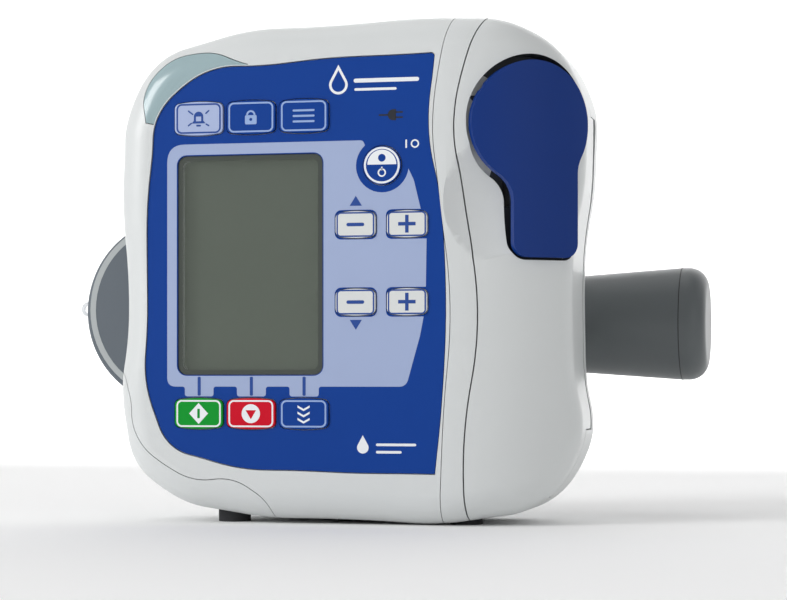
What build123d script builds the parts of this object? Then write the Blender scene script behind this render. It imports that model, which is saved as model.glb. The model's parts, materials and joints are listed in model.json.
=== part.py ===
from build123d import *
import math
import os

# Compact enteral infusion pump on a pole holder, in millimetres.
# X runs to the viewer's right, +Y to the back, +Z up. The origin is the middle of
# the pump's base, on the surface that its feet stand on.

# ---- Overall sizes ---------------------------------------------------------------
BODY_WIDTH = 128.0
BODY_HEIGHT = 138.0
BODY_DEPTH = 48.0
WALL = 2.4
FRONT_ROUND = 9.0
REAR_ROUND = 6.0
SEAM_GAP = 0.2

FRONT_Y = -BODY_DEPTH / 2
REAR_Y = BODY_DEPTH / 2
SPLIT_Y = 4.0
FAR = 200.0

# ---- Door, hinge and lever -------------------------------------------------------
DOOR_GAP = 0.4
DOOR_CURVE_R = 45.0
DOOR_CURVE_X = 28.0
DOOR_BACK_Y = -6.0
FRAME_FACE_Y = -5.0
FRAME_PLATE = 4.0
FRAME_RIGHT_X = 53.4
DOOR_SIDE_X = 54.0
HINGE_X = 59.5
HINGE_Y = 8.0
HINGE_R = 5.2
HINGE_CLEAR = 1.9
HINGE_PIN_R = 1.2
HINGE_LOW_Z = 26.0
HINGE_HIGH_Z = 112.0
HINGE_LUG = 6.0
DOOR_END_Y = 1.0
LEVER_ANGLE = 34.0
LEVER_HEAD_R = 17.0
LEVER_HEAD_S = -1.8
LEVER_HEAD_Z = 108.5
LEVER_END_Z = 72.5
LEVER_HALF_WIDTH = 9.7
LEVER_HANDLE_S = 1.9
LEVER_OUT = 1.6
LEVER_IN = 1.4
LEVER_GAP = 0.7
LEVER_TOP_GAP = 1.8
LEVER_PIVOT_DEPTH = 3.2
LEVER_PIVOT_Z = 118.0
LEVER_PIN_R = 1.0
TUB_DEPTH = 6.0
TUB_WALL = 1.2
SCOOP_R = 40.0

# ---- Key panel -------------------------------------------------------------------
PANEL_POCKET = 1.6
PANEL_SHEET = 1.2
PANEL_FLOOR = 2.0
WINDOW_WIDTH = 41.0
WINDOW_SHEET = 0.8
WINDOW_LEDGE = 1.0
KEY_WIDTH = 13.8
KEY_PITCH = 14.9
KEY_TOP_HEIGHT = 9.3
KEY_LOW_HEIGHT = 8.5
STEP_KEY_WIDTH = 11.1
STEP_KEY_HEIGHT = 7.3
POWER_KEY_R = 5.2
KEY_PROUD = 0.6
KEY_CAP = 1.1
KEY_TRAVEL = 0.6
KEY_GAP = 0.25
STEM_R = 2.0
BOARD_FRONT_Y = FRONT_Y + 8.8
BOARD_SHEET = 1.6

# ---- Pumping mechanism -----------------------------------------------------------
TUBE_X = 45.5
TUBE_GROOVE = 4.4
TUBE_GROOVE_DEPTH = 3.4
ROTOR_Y = 3.5
ROTOR_Z = 48.0
ROLLER_R = 4.0
ROLLER_ORBIT = 9.0
ROTOR_LENGTH = 10.0
DISC_SHEET = 1.8
DISC_R = 11.0
SHAFT_R = 2.0
BUSH_R = 4.0
RUNNING_FIT = 0.05
SQUEEZE = 1.6
MOTOR_R = 10.0

# ---- Holder and pole clamp -------------------------------------------------------
HOLDER_GAP = 0.6
HOLDER_PLATE = 8.0
POLE_R = 12.5
POLE_X = -4.0
POLE_Y = 49.0
CLAMP_Z = 56.0
CLAMP_HEIGHT = 34.0
SCREW_R = 5.0
KNOB_START_X = 52.0
KNOB_LENGTH = 34.0
KNOB_SMALL_R = 14.0
KNOB_LARGE_R = 16.4
KNOB_CAP = 7.5


def across(x):
    """Place across the body, for its present width."""
    return x * BODY_WIDTH / 128.0


def up(z):
    """Place above the base, for its present height."""
    return z * BODY_HEIGHT / 138.0


def save(builder, name):
    """Label a finished piece and write it as its own STEP file."""
    builder.part.label = name
    export_step(builder.part, f"parts/{name}.step")


def front_plane(y):
    """Upright plane at depth y, facing the front."""
    return Plane.XZ.offset(-y)


os.makedirs("parts", exist_ok=True)

# ---- Smooth outlines -------------------------------------------------------------
def smooth_arcs(points, closed=False):
    """Draw arcs that run smoothly through the points, two between each pair."""
    spots = [Vector(x, y) for x, y in points]
    if closed:
        spots = [spots[-1]] + spots + spots[:2]
    else:
        spots = [2 * spots[0] - spots[1]] + spots + [2 * spots[-1] - spots[-2]]
    headings = []
    for before, here, after in zip(spots, spots[1:], spots[2:]):
        back, ahead = here - before, after - here
        headings.append((back / back.length**2 + ahead / ahead.length**2).normalized())
    for place in range(len(headings) - 1):
        start, end = spots[place + 1], spots[place + 2]
        leave, arrive = headings[place], headings[place + 1]
        chord = end - start
        along = chord.dot(leave + arrive)
        spread = 2 * (1 - leave.dot(arrive))
        if spread < 1e-9:
            reach = chord.dot(chord) / (2 * along)
        else:
            reach = (math.sqrt(along**2 + spread * chord.dot(chord)) - along) / spread
        middle = (start + leave * reach + end - arrive * reach) / 2
        first = TangentArc(start, middle, tangent=leave)
        TangentArc(middle, end, tangent=first % 1)


# ---- Outer form ------------------------------------------------------------------
OUTLINE = [
    (-64.2, 98), (-62.7, 58), (-64.0, 30), (-60.4, 16.4), (-49.5, 7.2), (-30, 2.5), (0, 1.2),
    (34, 1.3), (52, 5.8), (62.2, 20), (61.3, 46), (61.4, 74), (64.3, 98), (63.4, 118),
    (56, 130.6), (46, 136.3), (28, 138.0), (0, 137.2), (-36, 134.6), (-54.5, 127.5), (-62.8, 113),
]
DOOR_CURVE_Y = FRONT_Y + DOOR_CURVE_R


def body_form(inset):
    """The pump's smooth outer form, drawn in by inset on every side."""
    with BuildPart() as form:
        with BuildSketch(front_plane(REAR_Y - inset)):
            with BuildLine():
                smooth_arcs([(across(x), up(z)) for x, z in OUTLINE], closed=True)
            make_face()
            if inset:
                offset(amount=-inset)
        extrude(amount=BODY_DEPTH - 2 * inset)
        with BuildSketch(Plane.XY.offset(-FAR)):
            with BuildLine():
                turn = CenterArc((across(DOOR_CURVE_X), DOOR_CURVE_Y), DOOR_CURVE_R - inset, -90, 60)
                corner = turn @ 1
                Polyline(turn @ 0, (-FAR, FRONT_Y + inset), (-FAR, FAR), (FAR, FAR), (FAR, corner.Y), corner)
            make_face()
        extrude(amount=2 * FAR, mode=Mode.INTERSECT)
        rims = [edge for edge in form.edges() if abs(edge.tangent_at(0.5).Y) < 0.95]
        rims = [edge for edge in rims if edge.geom_type != GeomType.LINE]
        fillet([edge for edge in rims if edge.center().Y < 0], FRONT_ROUND - inset)
        rear = form.faces().sort_by(Axis.Y)[-1]
        fillet(rear.edges(), REAR_ROUND - inset)
    return form.part


outer_form = body_form(0)
inner_form = body_form(WALL)
with BuildPart() as shell:
    add(outer_form)
    add(inner_form, mode=Mode.SUBTRACT)
shell_form = shell.part

# ---- Seams across the front ------------------------------------------------------
SEAM_LOW_Z = -8.0
SEAM_HIGH_Z = 146.0
STRIP_SEAM = [(27, SEAM_LOW_Z), (28.2, 25), (30.2, 62), (27.2, 90), (25.5, 108), (28, 128), (33, SEAM_HIGH_Z)]
DOOR_SEAM = [
    (34.6, SEAM_LOW_Z), (33.6, 14), (37.1, 64), (33.0, 91), (31.1, 110), (34.6, 127), (43, SEAM_HIGH_Z),
]


def seam_zone(left_seam, left_shift, right_seam, right_shift, near_y, far_y):
    """Upright block between two seams; a missing seam is a plain edge at its shift."""
    with BuildPart() as zone:
        with BuildSketch(front_plane(far_y)):
            with BuildLine():
                edges = []
                for seam, shift in ((left_seam, left_shift), (right_seam, right_shift)):
                    if seam:
                        points = [(across(x) + shift, up(z)) for x, z in seam]
                        smooth_arcs(points)
                    else:
                        points = [(shift, up(SEAM_LOW_Z)), (shift, up(SEAM_HIGH_Z))]
                        Line(*points)
                    edges.append(points)
                Line(edges[0][0], edges[1][0])
                Line(edges[0][-1], edges[1][-1])
            make_face()
        extrude(amount=far_y - near_y)
    return zone.part


def slab(y_near, y_far, x_low=-FAR, x_high=FAR, z_low=-FAR, z_high=FAR):
    """Plain block between two depths, used to bound a piece."""
    with BuildPart() as block:
        with BuildSketch(front_plane(y_far)):
            with Locations(((x_low + x_high) / 2, (z_low + z_high) / 2)):
                Rectangle(x_high - x_low, z_high - z_low)
        extrude(amount=y_far - y_near)
    return block.part


def bar_z(x, y, radius, z_low, z_high):
    """Round bar standing along Z."""
    with BuildPart() as bar:
        with BuildSketch(Plane.XY.offset(z_low)):
            with Locations((x, y)):
                Circle(radius)
        extrude(amount=z_high - z_low)
    return bar.part


def bar_x(y, z, radius, x_low, x_high):
    """Round bar lying along X."""
    with BuildPart() as bar:
        with BuildSketch(Plane.YZ.offset(x_low)):
            with Locations((y, z)):
                Circle(radius)
        extrude(amount=x_high - x_low)
    return bar.part


def bar_y(x, z, radius, y_low, y_high):
    """Round bar lying along Y."""
    with BuildPart() as bar:
        with BuildSketch(front_plane(y_high)):
            with Locations((x, z)):
                Circle(radius)
        extrude(amount=y_high - y_low)
    return bar.part


housing_zone = seam_zone(None, -FAR, STRIP_SEAM, -SEAM_GAP / 2, -FAR, FAR)
strip_zone = seam_zone(STRIP_SEAM, SEAM_GAP / 2, DOOR_SEAM, 0, -FAR, FAR)
strip_wall_zone = seam_zone(DOOR_SEAM, -WALL, DOOR_SEAM, 0, -FAR, FRAME_FACE_Y + FRAME_PLATE)
frame_zone = seam_zone(STRIP_SEAM, SEAM_GAP / 2, None, FRAME_RIGHT_X, -FAR, FAR)
behind_seam_zone = seam_zone(DOOR_SEAM, -0.5, None, FRAME_RIGHT_X, -FAR, FAR)
door_zone = seam_zone(DOOR_SEAM, DOOR_GAP, None, FAR, -FAR, FAR)
door_hollow_zone = seam_zone(DOOR_SEAM, DOOR_GAP + WALL, None, FAR, -FAR, FAR)

# ---- Panel pocket outline --------------------------------------------------------
PANEL_LEFT = [
    (26.2, 14), (-4, 14.4), (-36, 17), (-48.6, 22), (-53.6, 32), (-55.0, 62), (-54.0, 98),
    (-51.2, 113.6), (-43, 121.6), (-14, 126.2), (26.2, 127.7),
]
PANEL_RIGHT = [(26.2, 127.7), (24.5, 108), (27.9, 86), (29.2, 62), (28.0, 32), (26.2, 14)]
PANEL_CORNER = 1.0

with BuildSketch() as panel_outline:
    with BuildLine():
        smooth_arcs([(across(x), up(z)) for x, z in PANEL_LEFT])
        smooth_arcs([(across(x), up(z)) for x, z in PANEL_RIGHT])
    make_face()
    fillet(panel_outline.vertices().group_by(Axis.Y)[-1], PANEL_CORNER)

PANEL_FACE_Y = FRONT_Y + PANEL_POCKET - PANEL_SHEET
PANEL_BACK_Y = FRONT_Y + PANEL_POCKET
FLOOR_BACK_Y = PANEL_BACK_Y + PANEL_FLOOR


def panel_block(inset, y_near, y_far):
    """Block with the panel's outline, drawn in by inset."""
    with BuildPart() as block:
        with BuildSketch(front_plane(y_far)):
            add(panel_outline.sketch)
            if inset:
                offset(amount=-inset)
        extrude(amount=y_far - y_near)
    return block.part


# ---- Key places: name, x, z, width, height ---------------------------------------
TOP_ROW_Z = up(111.4)
LOW_ROW_Z = up(30.3)
FIRST_KEY_X = across(-40.0)
STEP_X = across(4.25)
STEP_PITCH = 14.25
STEP_HIGH_Z = up(81.6)
STEP_LOW_Z = up(60.6)
POWER_X = across(11.6)
POWER_Z = up(97.5)
KEYS = [
    ("key_mute", FIRST_KEY_X, TOP_ROW_Z, KEY_WIDTH, KEY_TOP_HEIGHT),
    ("key_lock", FIRST_KEY_X + KEY_PITCH, TOP_ROW_Z, KEY_WIDTH, KEY_TOP_HEIGHT),
    ("key_menu", FIRST_KEY_X + 2 * KEY_PITCH, TOP_ROW_Z, KEY_WIDTH, KEY_TOP_HEIGHT),
    ("key_start", FIRST_KEY_X, LOW_ROW_Z, KEY_WIDTH, KEY_LOW_HEIGHT),
    ("key_stop", FIRST_KEY_X + KEY_PITCH, LOW_ROW_Z, KEY_WIDTH, KEY_LOW_HEIGHT),
    ("key_fill", FIRST_KEY_X + 2 * KEY_PITCH, LOW_ROW_Z, KEY_WIDTH, KEY_LOW_HEIGHT),
    ("key_minus_upper", STEP_X, STEP_HIGH_Z, STEP_KEY_WIDTH, STEP_KEY_HEIGHT),
    ("key_plus_upper", STEP_X + STEP_PITCH, STEP_HIGH_Z, STEP_KEY_WIDTH, STEP_KEY_HEIGHT),
    ("key_minus_lower", STEP_X, STEP_LOW_Z, STEP_KEY_WIDTH, STEP_KEY_HEIGHT),
    ("key_plus_lower", STEP_X + STEP_PITCH, STEP_LOW_Z, STEP_KEY_WIDTH, STEP_KEY_HEIGHT),
    ("key_power", POWER_X, POWER_Z, 0, 0),
]
KEY_CORNER = 1.5
KEY_BULGE = 0.7
KEY_FACE_Y = PANEL_FACE_Y - KEY_PROUD


def key_face(x, z, width, height, grow):
    """Barrel-shaped key outline, or a round one where no width is given."""
    if not width:
        with Locations((x, z)):
            Circle(POWER_KEY_R + grow)
        return
    half_w = width / 2 + grow
    half_h = height / 2 + grow
    low = half_h - KEY_BULGE
    with BuildSketch(mode=Mode.PRIVATE) as barrel:
        with BuildLine():
            ThreePointArc((-half_w, low), (0, half_h), (half_w, low))
            Line((half_w, low), (half_w, -low))
            ThreePointArc((half_w, -low), (0, -half_h), (-half_w, -low))
            Line((-half_w, -low), (-half_w, low))
        make_face()
        fillet(barrel.vertices(), KEY_CORNER + grow)
    with Locations((x, z)):
        add(barrel.sketch)


# ---- Display window --------------------------------------------------------------
WINDOW_X = across(-25.6)
WINDOW_TOP_Z = TOP_ROW_Z - KEY_TOP_HEIGHT / 2 - 5.65
WINDOW_LOW_Z = LOW_ROW_Z + KEY_LOW_HEIGHT / 2 + 6.45
WINDOW_Z = (WINDOW_TOP_Z + WINDOW_LOW_Z) / 2
WINDOW_HEIGHT = WINDOW_TOP_Z - WINDOW_LOW_Z
WINDOW_CORNER = 2.5
WINDOW_GAP = 0.1


def window_block(grow, y_near, y_far):
    """Block with the display window's outline, grown all round."""
    with BuildPart() as block:
        with BuildSketch(front_plane(y_far)):
            with Locations((WINDOW_X, WINDOW_Z)):
                RectangleRounded(WINDOW_WIDTH + 2 * grow, WINDOW_HEIGHT + 2 * grow, WINDOW_CORNER)
        extrude(amount=y_far - y_near)
    return block.part


# ---- Corner pieces of the front --------------------------------------------------
LENS_REAR_Y = -13.0
LENS_OUTLINE = [(-55.4, 110.5), (-56.2, 118), (-49.8, 127), (-38.5, 129.7), (-26, 126)]
COVER_OUTLINE = [
    (-72, 42), (-63.4, 41.6), (-60.6, 36), (-58.8, 25.4), (-46, 14), (-26, 10.2), (-21.4, 6.4), (-19, -4),
]


def lens_zone(inset):
    """Crescent corner above the panel's upper left corner."""
    with BuildPart() as zone:
        with BuildSketch(front_plane(LENS_REAR_Y - inset)):
            with BuildLine():
                smooth_arcs([(across(x), up(z)) for x, z in LENS_OUTLINE])
                first, last = LENS_OUTLINE[0], LENS_OUTLINE[-1]
                Polyline(
                    (across(last[0]), up(last[1])), (across(-30), up(105)), (across(first[0]), up(first[1]))
                )
            make_face()
            if inset:
                offset(amount=-inset)
        extrude(amount=LENS_REAR_Y - inset + FAR)
        add(panel_block(-SEAM_GAP, -FAR, FAR), mode=Mode.SUBTRACT)
    return zone.part


def cover_zone(inset):
    """Lower left corner of the housing's front."""
    with BuildPart() as zone:
        with BuildSketch(front_plane(SPLIT_Y)):
            with BuildLine():
                smooth_arcs([(across(x), up(z)) for x, z in COVER_OUTLINE])
                first, last = COVER_OUTLINE[0], COVER_OUTLINE[-1]
                Polyline(
                    (across(last[0]), up(last[1])), (-FAR, up(last[1])), (-FAR, up(first[1])),
                    (across(first[0]), up(first[1])),
                )
            make_face()
            if inset:
                offset(amount=-inset)
        extrude(amount=SPLIT_Y + FAR)
    return zone.part


# ---- Finger scoop beside the lever ------------------------------------------------
SCOOP_X = across(51.0)
SCOOP_Z = up(88.0)
SCOOP_Y = FRONT_Y - 33.0
SCOOP_LEDGE_Z = up(67.0)


def scoop_form(grow):
    """Shallow dish that ends in a ledge rising to the right."""
    with BuildPart() as dish:
        with Locations((SCOOP_X, SCOOP_Y, SCOOP_Z)):
            Sphere(SCOOP_R + grow)
        with BuildSketch(front_plane(FAR)):
            with BuildLine():
                Polyline(
                    (across(20), SCOOP_LEDGE_Z - grow),
                    (across(33), SCOOP_LEDGE_Z + 3 - grow),
                    (across(48), SCOOP_LEDGE_Z + 7 - grow),
                    (across(90), SCOOP_LEDGE_Z + 9 - grow),
                    (across(90), FAR),
                    (across(20), FAR),
                    close=True,
                )
            make_face()
        extrude(amount=2 * FAR, mode=Mode.INTERSECT)
    return dish.part


scoop = scoop_form(0)
scoop_skin = scoop_form(WALL)

# ---- Lever outline, on a plane that touches the door's curve ----------------------
LEVER_TURN = math.radians(LEVER_ANGLE)
lever_plane = Plane(
    origin=(
        across(DOOR_CURVE_X) + DOOR_CURVE_R * math.sin(LEVER_TURN),
        DOOR_CURVE_Y - DOOR_CURVE_R * math.cos(LEVER_TURN),
        0,
    ),
    x_dir=(math.cos(LEVER_TURN), math.sin(LEVER_TURN), 0),
    z_dir=(math.sin(LEVER_TURN), -math.cos(LEVER_TURN), 0),
)
HEAD_Z = up(LEVER_HEAD_Z)
LEVER_LOW_Z = up(LEVER_END_Z)
PIVOT_Z = HEAD_Z + LEVER_PIVOT_Z - LEVER_HEAD_Z
LEVER_CORNER = 4.0
NECK_LEFT_R = 9.0

with BuildSketch() as lever_outline:
    with Locations((LEVER_HEAD_S, HEAD_Z)):
        Circle(LEVER_HEAD_R)
    with Locations((LEVER_HANDLE_S, (LEVER_LOW_Z + HEAD_Z) / 2)):
        Rectangle(2 * LEVER_HALF_WIDTH, HEAD_Z - LEVER_LOW_Z)
    ends = lever_outline.vertices().group_by(Axis.Y)[0]
    fillet(ends, LEVER_CORNER)
    necks = [v for v in lever_outline.vertices() if LEVER_LOW_Z + 6 < v.Y < HEAD_Z - 1]
    fillet(necks, NECK_LEFT_R)


def lever_block(grow, top_grow, depth_low, depth_high):
    """Block with the lever's outline, between two distances from the door's curve."""
    with BuildPart() as block:
        with BuildSketch(lever_plane.offset(depth_low)):
            add(lever_outline.sketch)
            if grow:
                offset(amount=grow)
            if top_grow:
                with Locations((LEVER_HEAD_S, HEAD_Z + top_grow - grow)):
                    Circle(LEVER_HEAD_R + grow)
        extrude(amount=depth_high - depth_low)
    return block.part


def lever_box(s_low, s_high, z_low, z_high, depth_low, depth_high):
    """Plain block set square to the lever."""
    with BuildPart() as block:
        with BuildSketch(lever_plane.offset(depth_low)):
            with Locations(((s_low + s_high) / 2, (z_low + z_high) / 2)):
                Rectangle(s_high - s_low, z_high - z_low)
        extrude(amount=depth_high - depth_low)
    return block.part


def lever_bar(radius, s_low, s_high):
    """Round bar along the lever's pivot."""
    middle = lever_plane.from_local_coords(Vector(s_low, PIVOT_Z, -LEVER_PIVOT_DEPTH))
    with BuildPart() as bar:
        with BuildSketch(Plane(origin=middle, x_dir=(0, 0, 1), z_dir=lever_plane.x_dir)):
            Circle(radius)
        extrude(amount=s_high - s_low)
    return bar.part


BOSS_HALF = 3.4
BOSS_R = 1.7
KNUCKLE_START = 3.8
KNUCKLE_END = 7.4
LATCH_LOW_S = -7.5
LATCH_HIGH_S = -4.5
LATCH_LOW_Z = HEAD_Z - 11.5
LATCH_HIGH_Z = HEAD_Z - 7.5
LATCH_NOSE = 3.0
LATCH_REACH = 21.0
SLOT_LOW_Z = HEAD_Z - 22.0
SLOT_HIGH_Z = HEAD_Z - 2.5
SLOT_SIDE = 0.6
FRAME_SLOT_LOW_X = across(34.2)
FRAME_SLOT_HIGH_X = across(34.2) + 9.0

pocket = lever_block(LEVER_GAP, LEVER_TOP_GAP, -TUB_DEPTH, 8)
tub = lever_block(LEVER_GAP + TUB_WALL, LEVER_TOP_GAP + TUB_WALL, -TUB_DEPTH - TUB_WALL, 8)

# ---- Screws that hold the two housings -------------------------------------------
SCREW_PLACES = [
    (across(-54.5), up(100.0)),
    (across(-54.5), up(40.0)),
    (across(16.0), up(130.0)),
    (across(18.0), up(8.6)),
]
CASE_BOSS_R = 3.2
CASE_SCREW_R = 1.3
CASE_HEAD_R = 2.5
CASE_HEAD = 1.6
COUNTERBORE = 3.0

# ---- Front housing ---------------------------------------------------------------
with BuildPart() as front_housing:
    add(shell_form)
    add(panel_block(-PANEL_FLOOR, FRONT_Y, FLOOR_BACK_Y))
    for screw_x, screw_z in SCREW_PLACES:
        add(bar_y(screw_x, screw_z, CASE_BOSS_R, FLOOR_BACK_Y - 1, SPLIT_Y))
    add(outer_form, mode=Mode.INTERSECT)
    add(housing_zone, mode=Mode.INTERSECT)
    add(slab(-FAR, SPLIT_Y), mode=Mode.INTERSECT)
    add(panel_block(0, -FAR, PANEL_BACK_Y), mode=Mode.SUBTRACT)
    add(window_block(-WINDOW_LEDGE, -FAR, FAR), mode=Mode.SUBTRACT)
    for _, key_x, key_z, _, _ in KEYS:
        add(bar_y(key_x, key_z, STEM_R + KEY_GAP, -FAR, SPLIT_Y), mode=Mode.SUBTRACT)
    for screw_x, screw_z in SCREW_PLACES:
        add(bar_y(screw_x, screw_z, CASE_SCREW_R, FLOOR_BACK_Y + 2, FAR), mode=Mode.SUBTRACT)
    add(lens_zone(0), mode=Mode.SUBTRACT)
    add(cover_zone(0), mode=Mode.SUBTRACT)
save(front_housing, "front_housing")

# ---- Alarm lens and battery cover ------------------------------------------------
with BuildPart() as alarm_lens:
    add(shell_form)
    add(lens_zone(SEAM_GAP), mode=Mode.INTERSECT)
save(alarm_lens, "alarm_lens")

with BuildPart() as battery_cover:
    add(shell_form)
    add(cover_zone(SEAM_GAP), mode=Mode.INTERSECT)
    add(panel_block(-PANEL_FLOOR - SEAM_GAP, -FAR, FLOOR_BACK_Y), mode=Mode.SUBTRACT)
save(battery_cover, "battery_cover")

# ---- Key panel, display and keys -------------------------------------------------
with BuildPart() as keypad_panel:
    add(panel_block(KEY_GAP, PANEL_FACE_Y, PANEL_BACK_Y))
    add(window_block(WINDOW_GAP, -FAR, FAR), mode=Mode.SUBTRACT)
    with BuildSketch(front_plane(PANEL_BACK_Y)):
        for _, key_x, key_z, key_w, key_h in KEYS:
            key_face(key_x, key_z, key_w, key_h, KEY_GAP)
    extrude(amount=2 * PANEL_SHEET, mode=Mode.SUBTRACT)
save(keypad_panel, "keypad_panel")

with BuildPart() as display_window:
    add(window_block(0, PANEL_BACK_Y - WINDOW_SHEET, PANEL_BACK_Y))
save(display_window, "display_window")

LCD_DEPTH = 4.0
LCD_MARGIN = 1.4
with BuildPart() as display_module:
    add(window_block(LCD_MARGIN, FLOOR_BACK_Y, FLOOR_BACK_Y + LCD_DEPTH))
save(display_module, "display_module")

SWITCH_R = 2.6
SWITCH_FRONT_Y = KEY_FACE_Y + KEY_CAP + 5.5
STEM_END_Y = SWITCH_FRONT_Y - KEY_TRAVEL - 0.1
for key_name, key_x, key_z, key_w, key_h in KEYS:
    with BuildPart() as key:
        with BuildSketch(front_plane(KEY_FACE_Y + KEY_CAP)):
            key_face(key_x, key_z, key_w, key_h, 0)
        extrude(amount=KEY_CAP)
        face_rim = key.faces().sort_by(Axis.Y)[0].edges()
        fillet(face_rim, KEY_PROUD / 2)
        add(bar_y(key_x, key_z, STEM_R, KEY_FACE_Y + KEY_CAP, STEM_END_Y))
    save(key, key_name)

BOARD_ROUND = 3.0
with BuildPart() as main_board:
    with BuildSketch(front_plane(BOARD_FRONT_Y + BOARD_SHEET)):
        board_low = LOW_ROW_Z - 6
        board_high = TOP_ROW_Z + 6
        board_right = STEP_X + STEP_PITCH + 3.2
        board_left = FIRST_KEY_X - KEY_WIDTH / 2 + 1
        with Locations(((board_left + board_right) / 2, (board_low + board_high) / 2)):
            RectangleRounded(board_right - board_left, board_high - board_low, BOARD_ROUND)
    extrude(amount=BOARD_SHEET)
save(main_board, "main_board")

with BuildPart() as key_switches:
    with BuildSketch(front_plane(BOARD_FRONT_Y)):
        with Locations(*[(key_x, key_z) for _, key_x, key_z, _, _ in KEYS]):
            Circle(SWITCH_R)
    extrude(amount=BOARD_FRONT_Y - SWITCH_FRONT_Y)
save(key_switches, "key_switches")

LED_R = 1.5
with BuildPart() as alarm_leds:
    with BuildSketch(front_plane(BOARD_FRONT_Y)):
        with Locations((board_left + 3, board_high - 2.4), (board_left + 9, board_high - 2.4)):
            Circle(LED_R)
    extrude(amount=3.0)
save(alarm_leds, "alarm_leds")

# ---- Channel frame ---------------------------------------------------------------
ROTOR_LOW_X = TUBE_X - ROTOR_LENGTH / 2
ROTOR_HIGH_X = TUBE_X + ROTOR_LENGTH / 2
PUMP_Z = up(ROTOR_Z)
ROTOR_REACH = ROLLER_ORBIT + ROLLER_R
RIB_SHEET = 2.4
RIB_LEFT_X = ROTOR_LOW_X - 1.6 - RIB_SHEET
RIB_HIGH_Y = ROTOR_Y + BUSH_R + 2.4
FRAME_BACK_Y = FRAME_FACE_Y + FRAME_PLATE
WINDOW_SIDE = 0.6

with BuildPart() as channel_frame:
    add(shell_form)
    add(strip_zone, mode=Mode.INTERSECT)
    add(slab(-FAR, SPLIT_Y), mode=Mode.INTERSECT)
    with BuildPart(mode=Mode.PRIVATE) as inside_pieces:
        add(strip_wall_zone)
        with BuildPart(mode=Mode.PRIVATE) as plate:
            add(frame_zone)
            add(slab(FRAME_FACE_Y, FRAME_BACK_Y), mode=Mode.INTERSECT)
        add(plate.part)
        add(slab(FRAME_FACE_Y, SPLIT_Y, FRAME_RIGHT_X - RIB_SHEET, FRAME_RIGHT_X))
        add(slab(FRAME_FACE_Y, RIB_HIGH_Y, RIB_LEFT_X, RIB_LEFT_X + RIB_SHEET, PUMP_Z - 7, PUMP_Z + 7))
        add(slab(FRAME_FACE_Y, RIB_HIGH_Y, FRAME_RIGHT_X - RIB_SHEET, FRAME_RIGHT_X, PUMP_Z - 7, PUMP_Z + 7))
        add(outer_form, mode=Mode.INTERSECT)
    add(inside_pieces.part)
    with BuildPart(mode=Mode.PRIVATE) as end_walls:
        add(shell_form)
        add(behind_seam_zone, mode=Mode.INTERSECT)
        add(slab(FRAME_FACE_Y, SPLIT_Y), mode=Mode.INTERSECT)
    add(end_walls.part)
    rotor_half = ROTOR_REACH + WINDOW_SIDE
    add(
        slab(
            -FAR, FRAME_BACK_Y + 0.5, ROTOR_LOW_X - WINDOW_SIDE, ROTOR_HIGH_X + WINDOW_SIDE,
            PUMP_Z - rotor_half, PUMP_Z + rotor_half,
        ),
        mode=Mode.SUBTRACT,
    )
    groove_half = TUBE_GROOVE / 2
    add(
        slab(-FAR, FRAME_FACE_Y + TUBE_GROOVE_DEPTH, TUBE_X - groove_half, TUBE_X + groove_half),
        mode=Mode.SUBTRACT,
    )
    add(
        slab(
            FRAME_FACE_Y - 1, FRAME_BACK_Y + 1, FRAME_SLOT_LOW_X, FRAME_SLOT_HIGH_X,
            SLOT_LOW_Z, SLOT_HIGH_Z,
        ),
        mode=Mode.SUBTRACT,
    )
    add(bar_x(ROTOR_Y, PUMP_Z, BUSH_R, RIB_LEFT_X - 1, FAR), mode=Mode.SUBTRACT)
    add(scoop, mode=Mode.SUBTRACT)
save(channel_frame, "channel_frame")

# ---- Rear housing ----------------------------------------------------------------
BAR_LOW_Z = up(HINGE_LOW_Z)
BAR_HIGH_Z = up(HINGE_HIGH_Z)
HINGE_AT_X = across(HINGE_X)
LUG_R = 3.4
STUD_R = 4.0
STUD_PLACES = [(across(-22), up(74)), (across(22), up(74))]
CONTACT_R = 1.5
CONTACT_PLACES = [(across(-6), up(22)), (0, up(22)), (across(6), up(22))]
SPEAKER_X = across(-28)
SPEAKER_Z = up(102)
SPEAKER_R = 13.0
SOUND_HOLE_R = 1.0



def hinge_side(radius):
    """Space right of the hinge axis and in front of it, outside a radius around it."""
    with BuildPart() as side:
        add(slab(-FAR, HINGE_Y, HINGE_AT_X, FAR))
        add(bar_z(HINGE_AT_X, HINGE_Y, radius, -FAR, FAR), mode=Mode.SUBTRACT)
    return side.part


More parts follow.
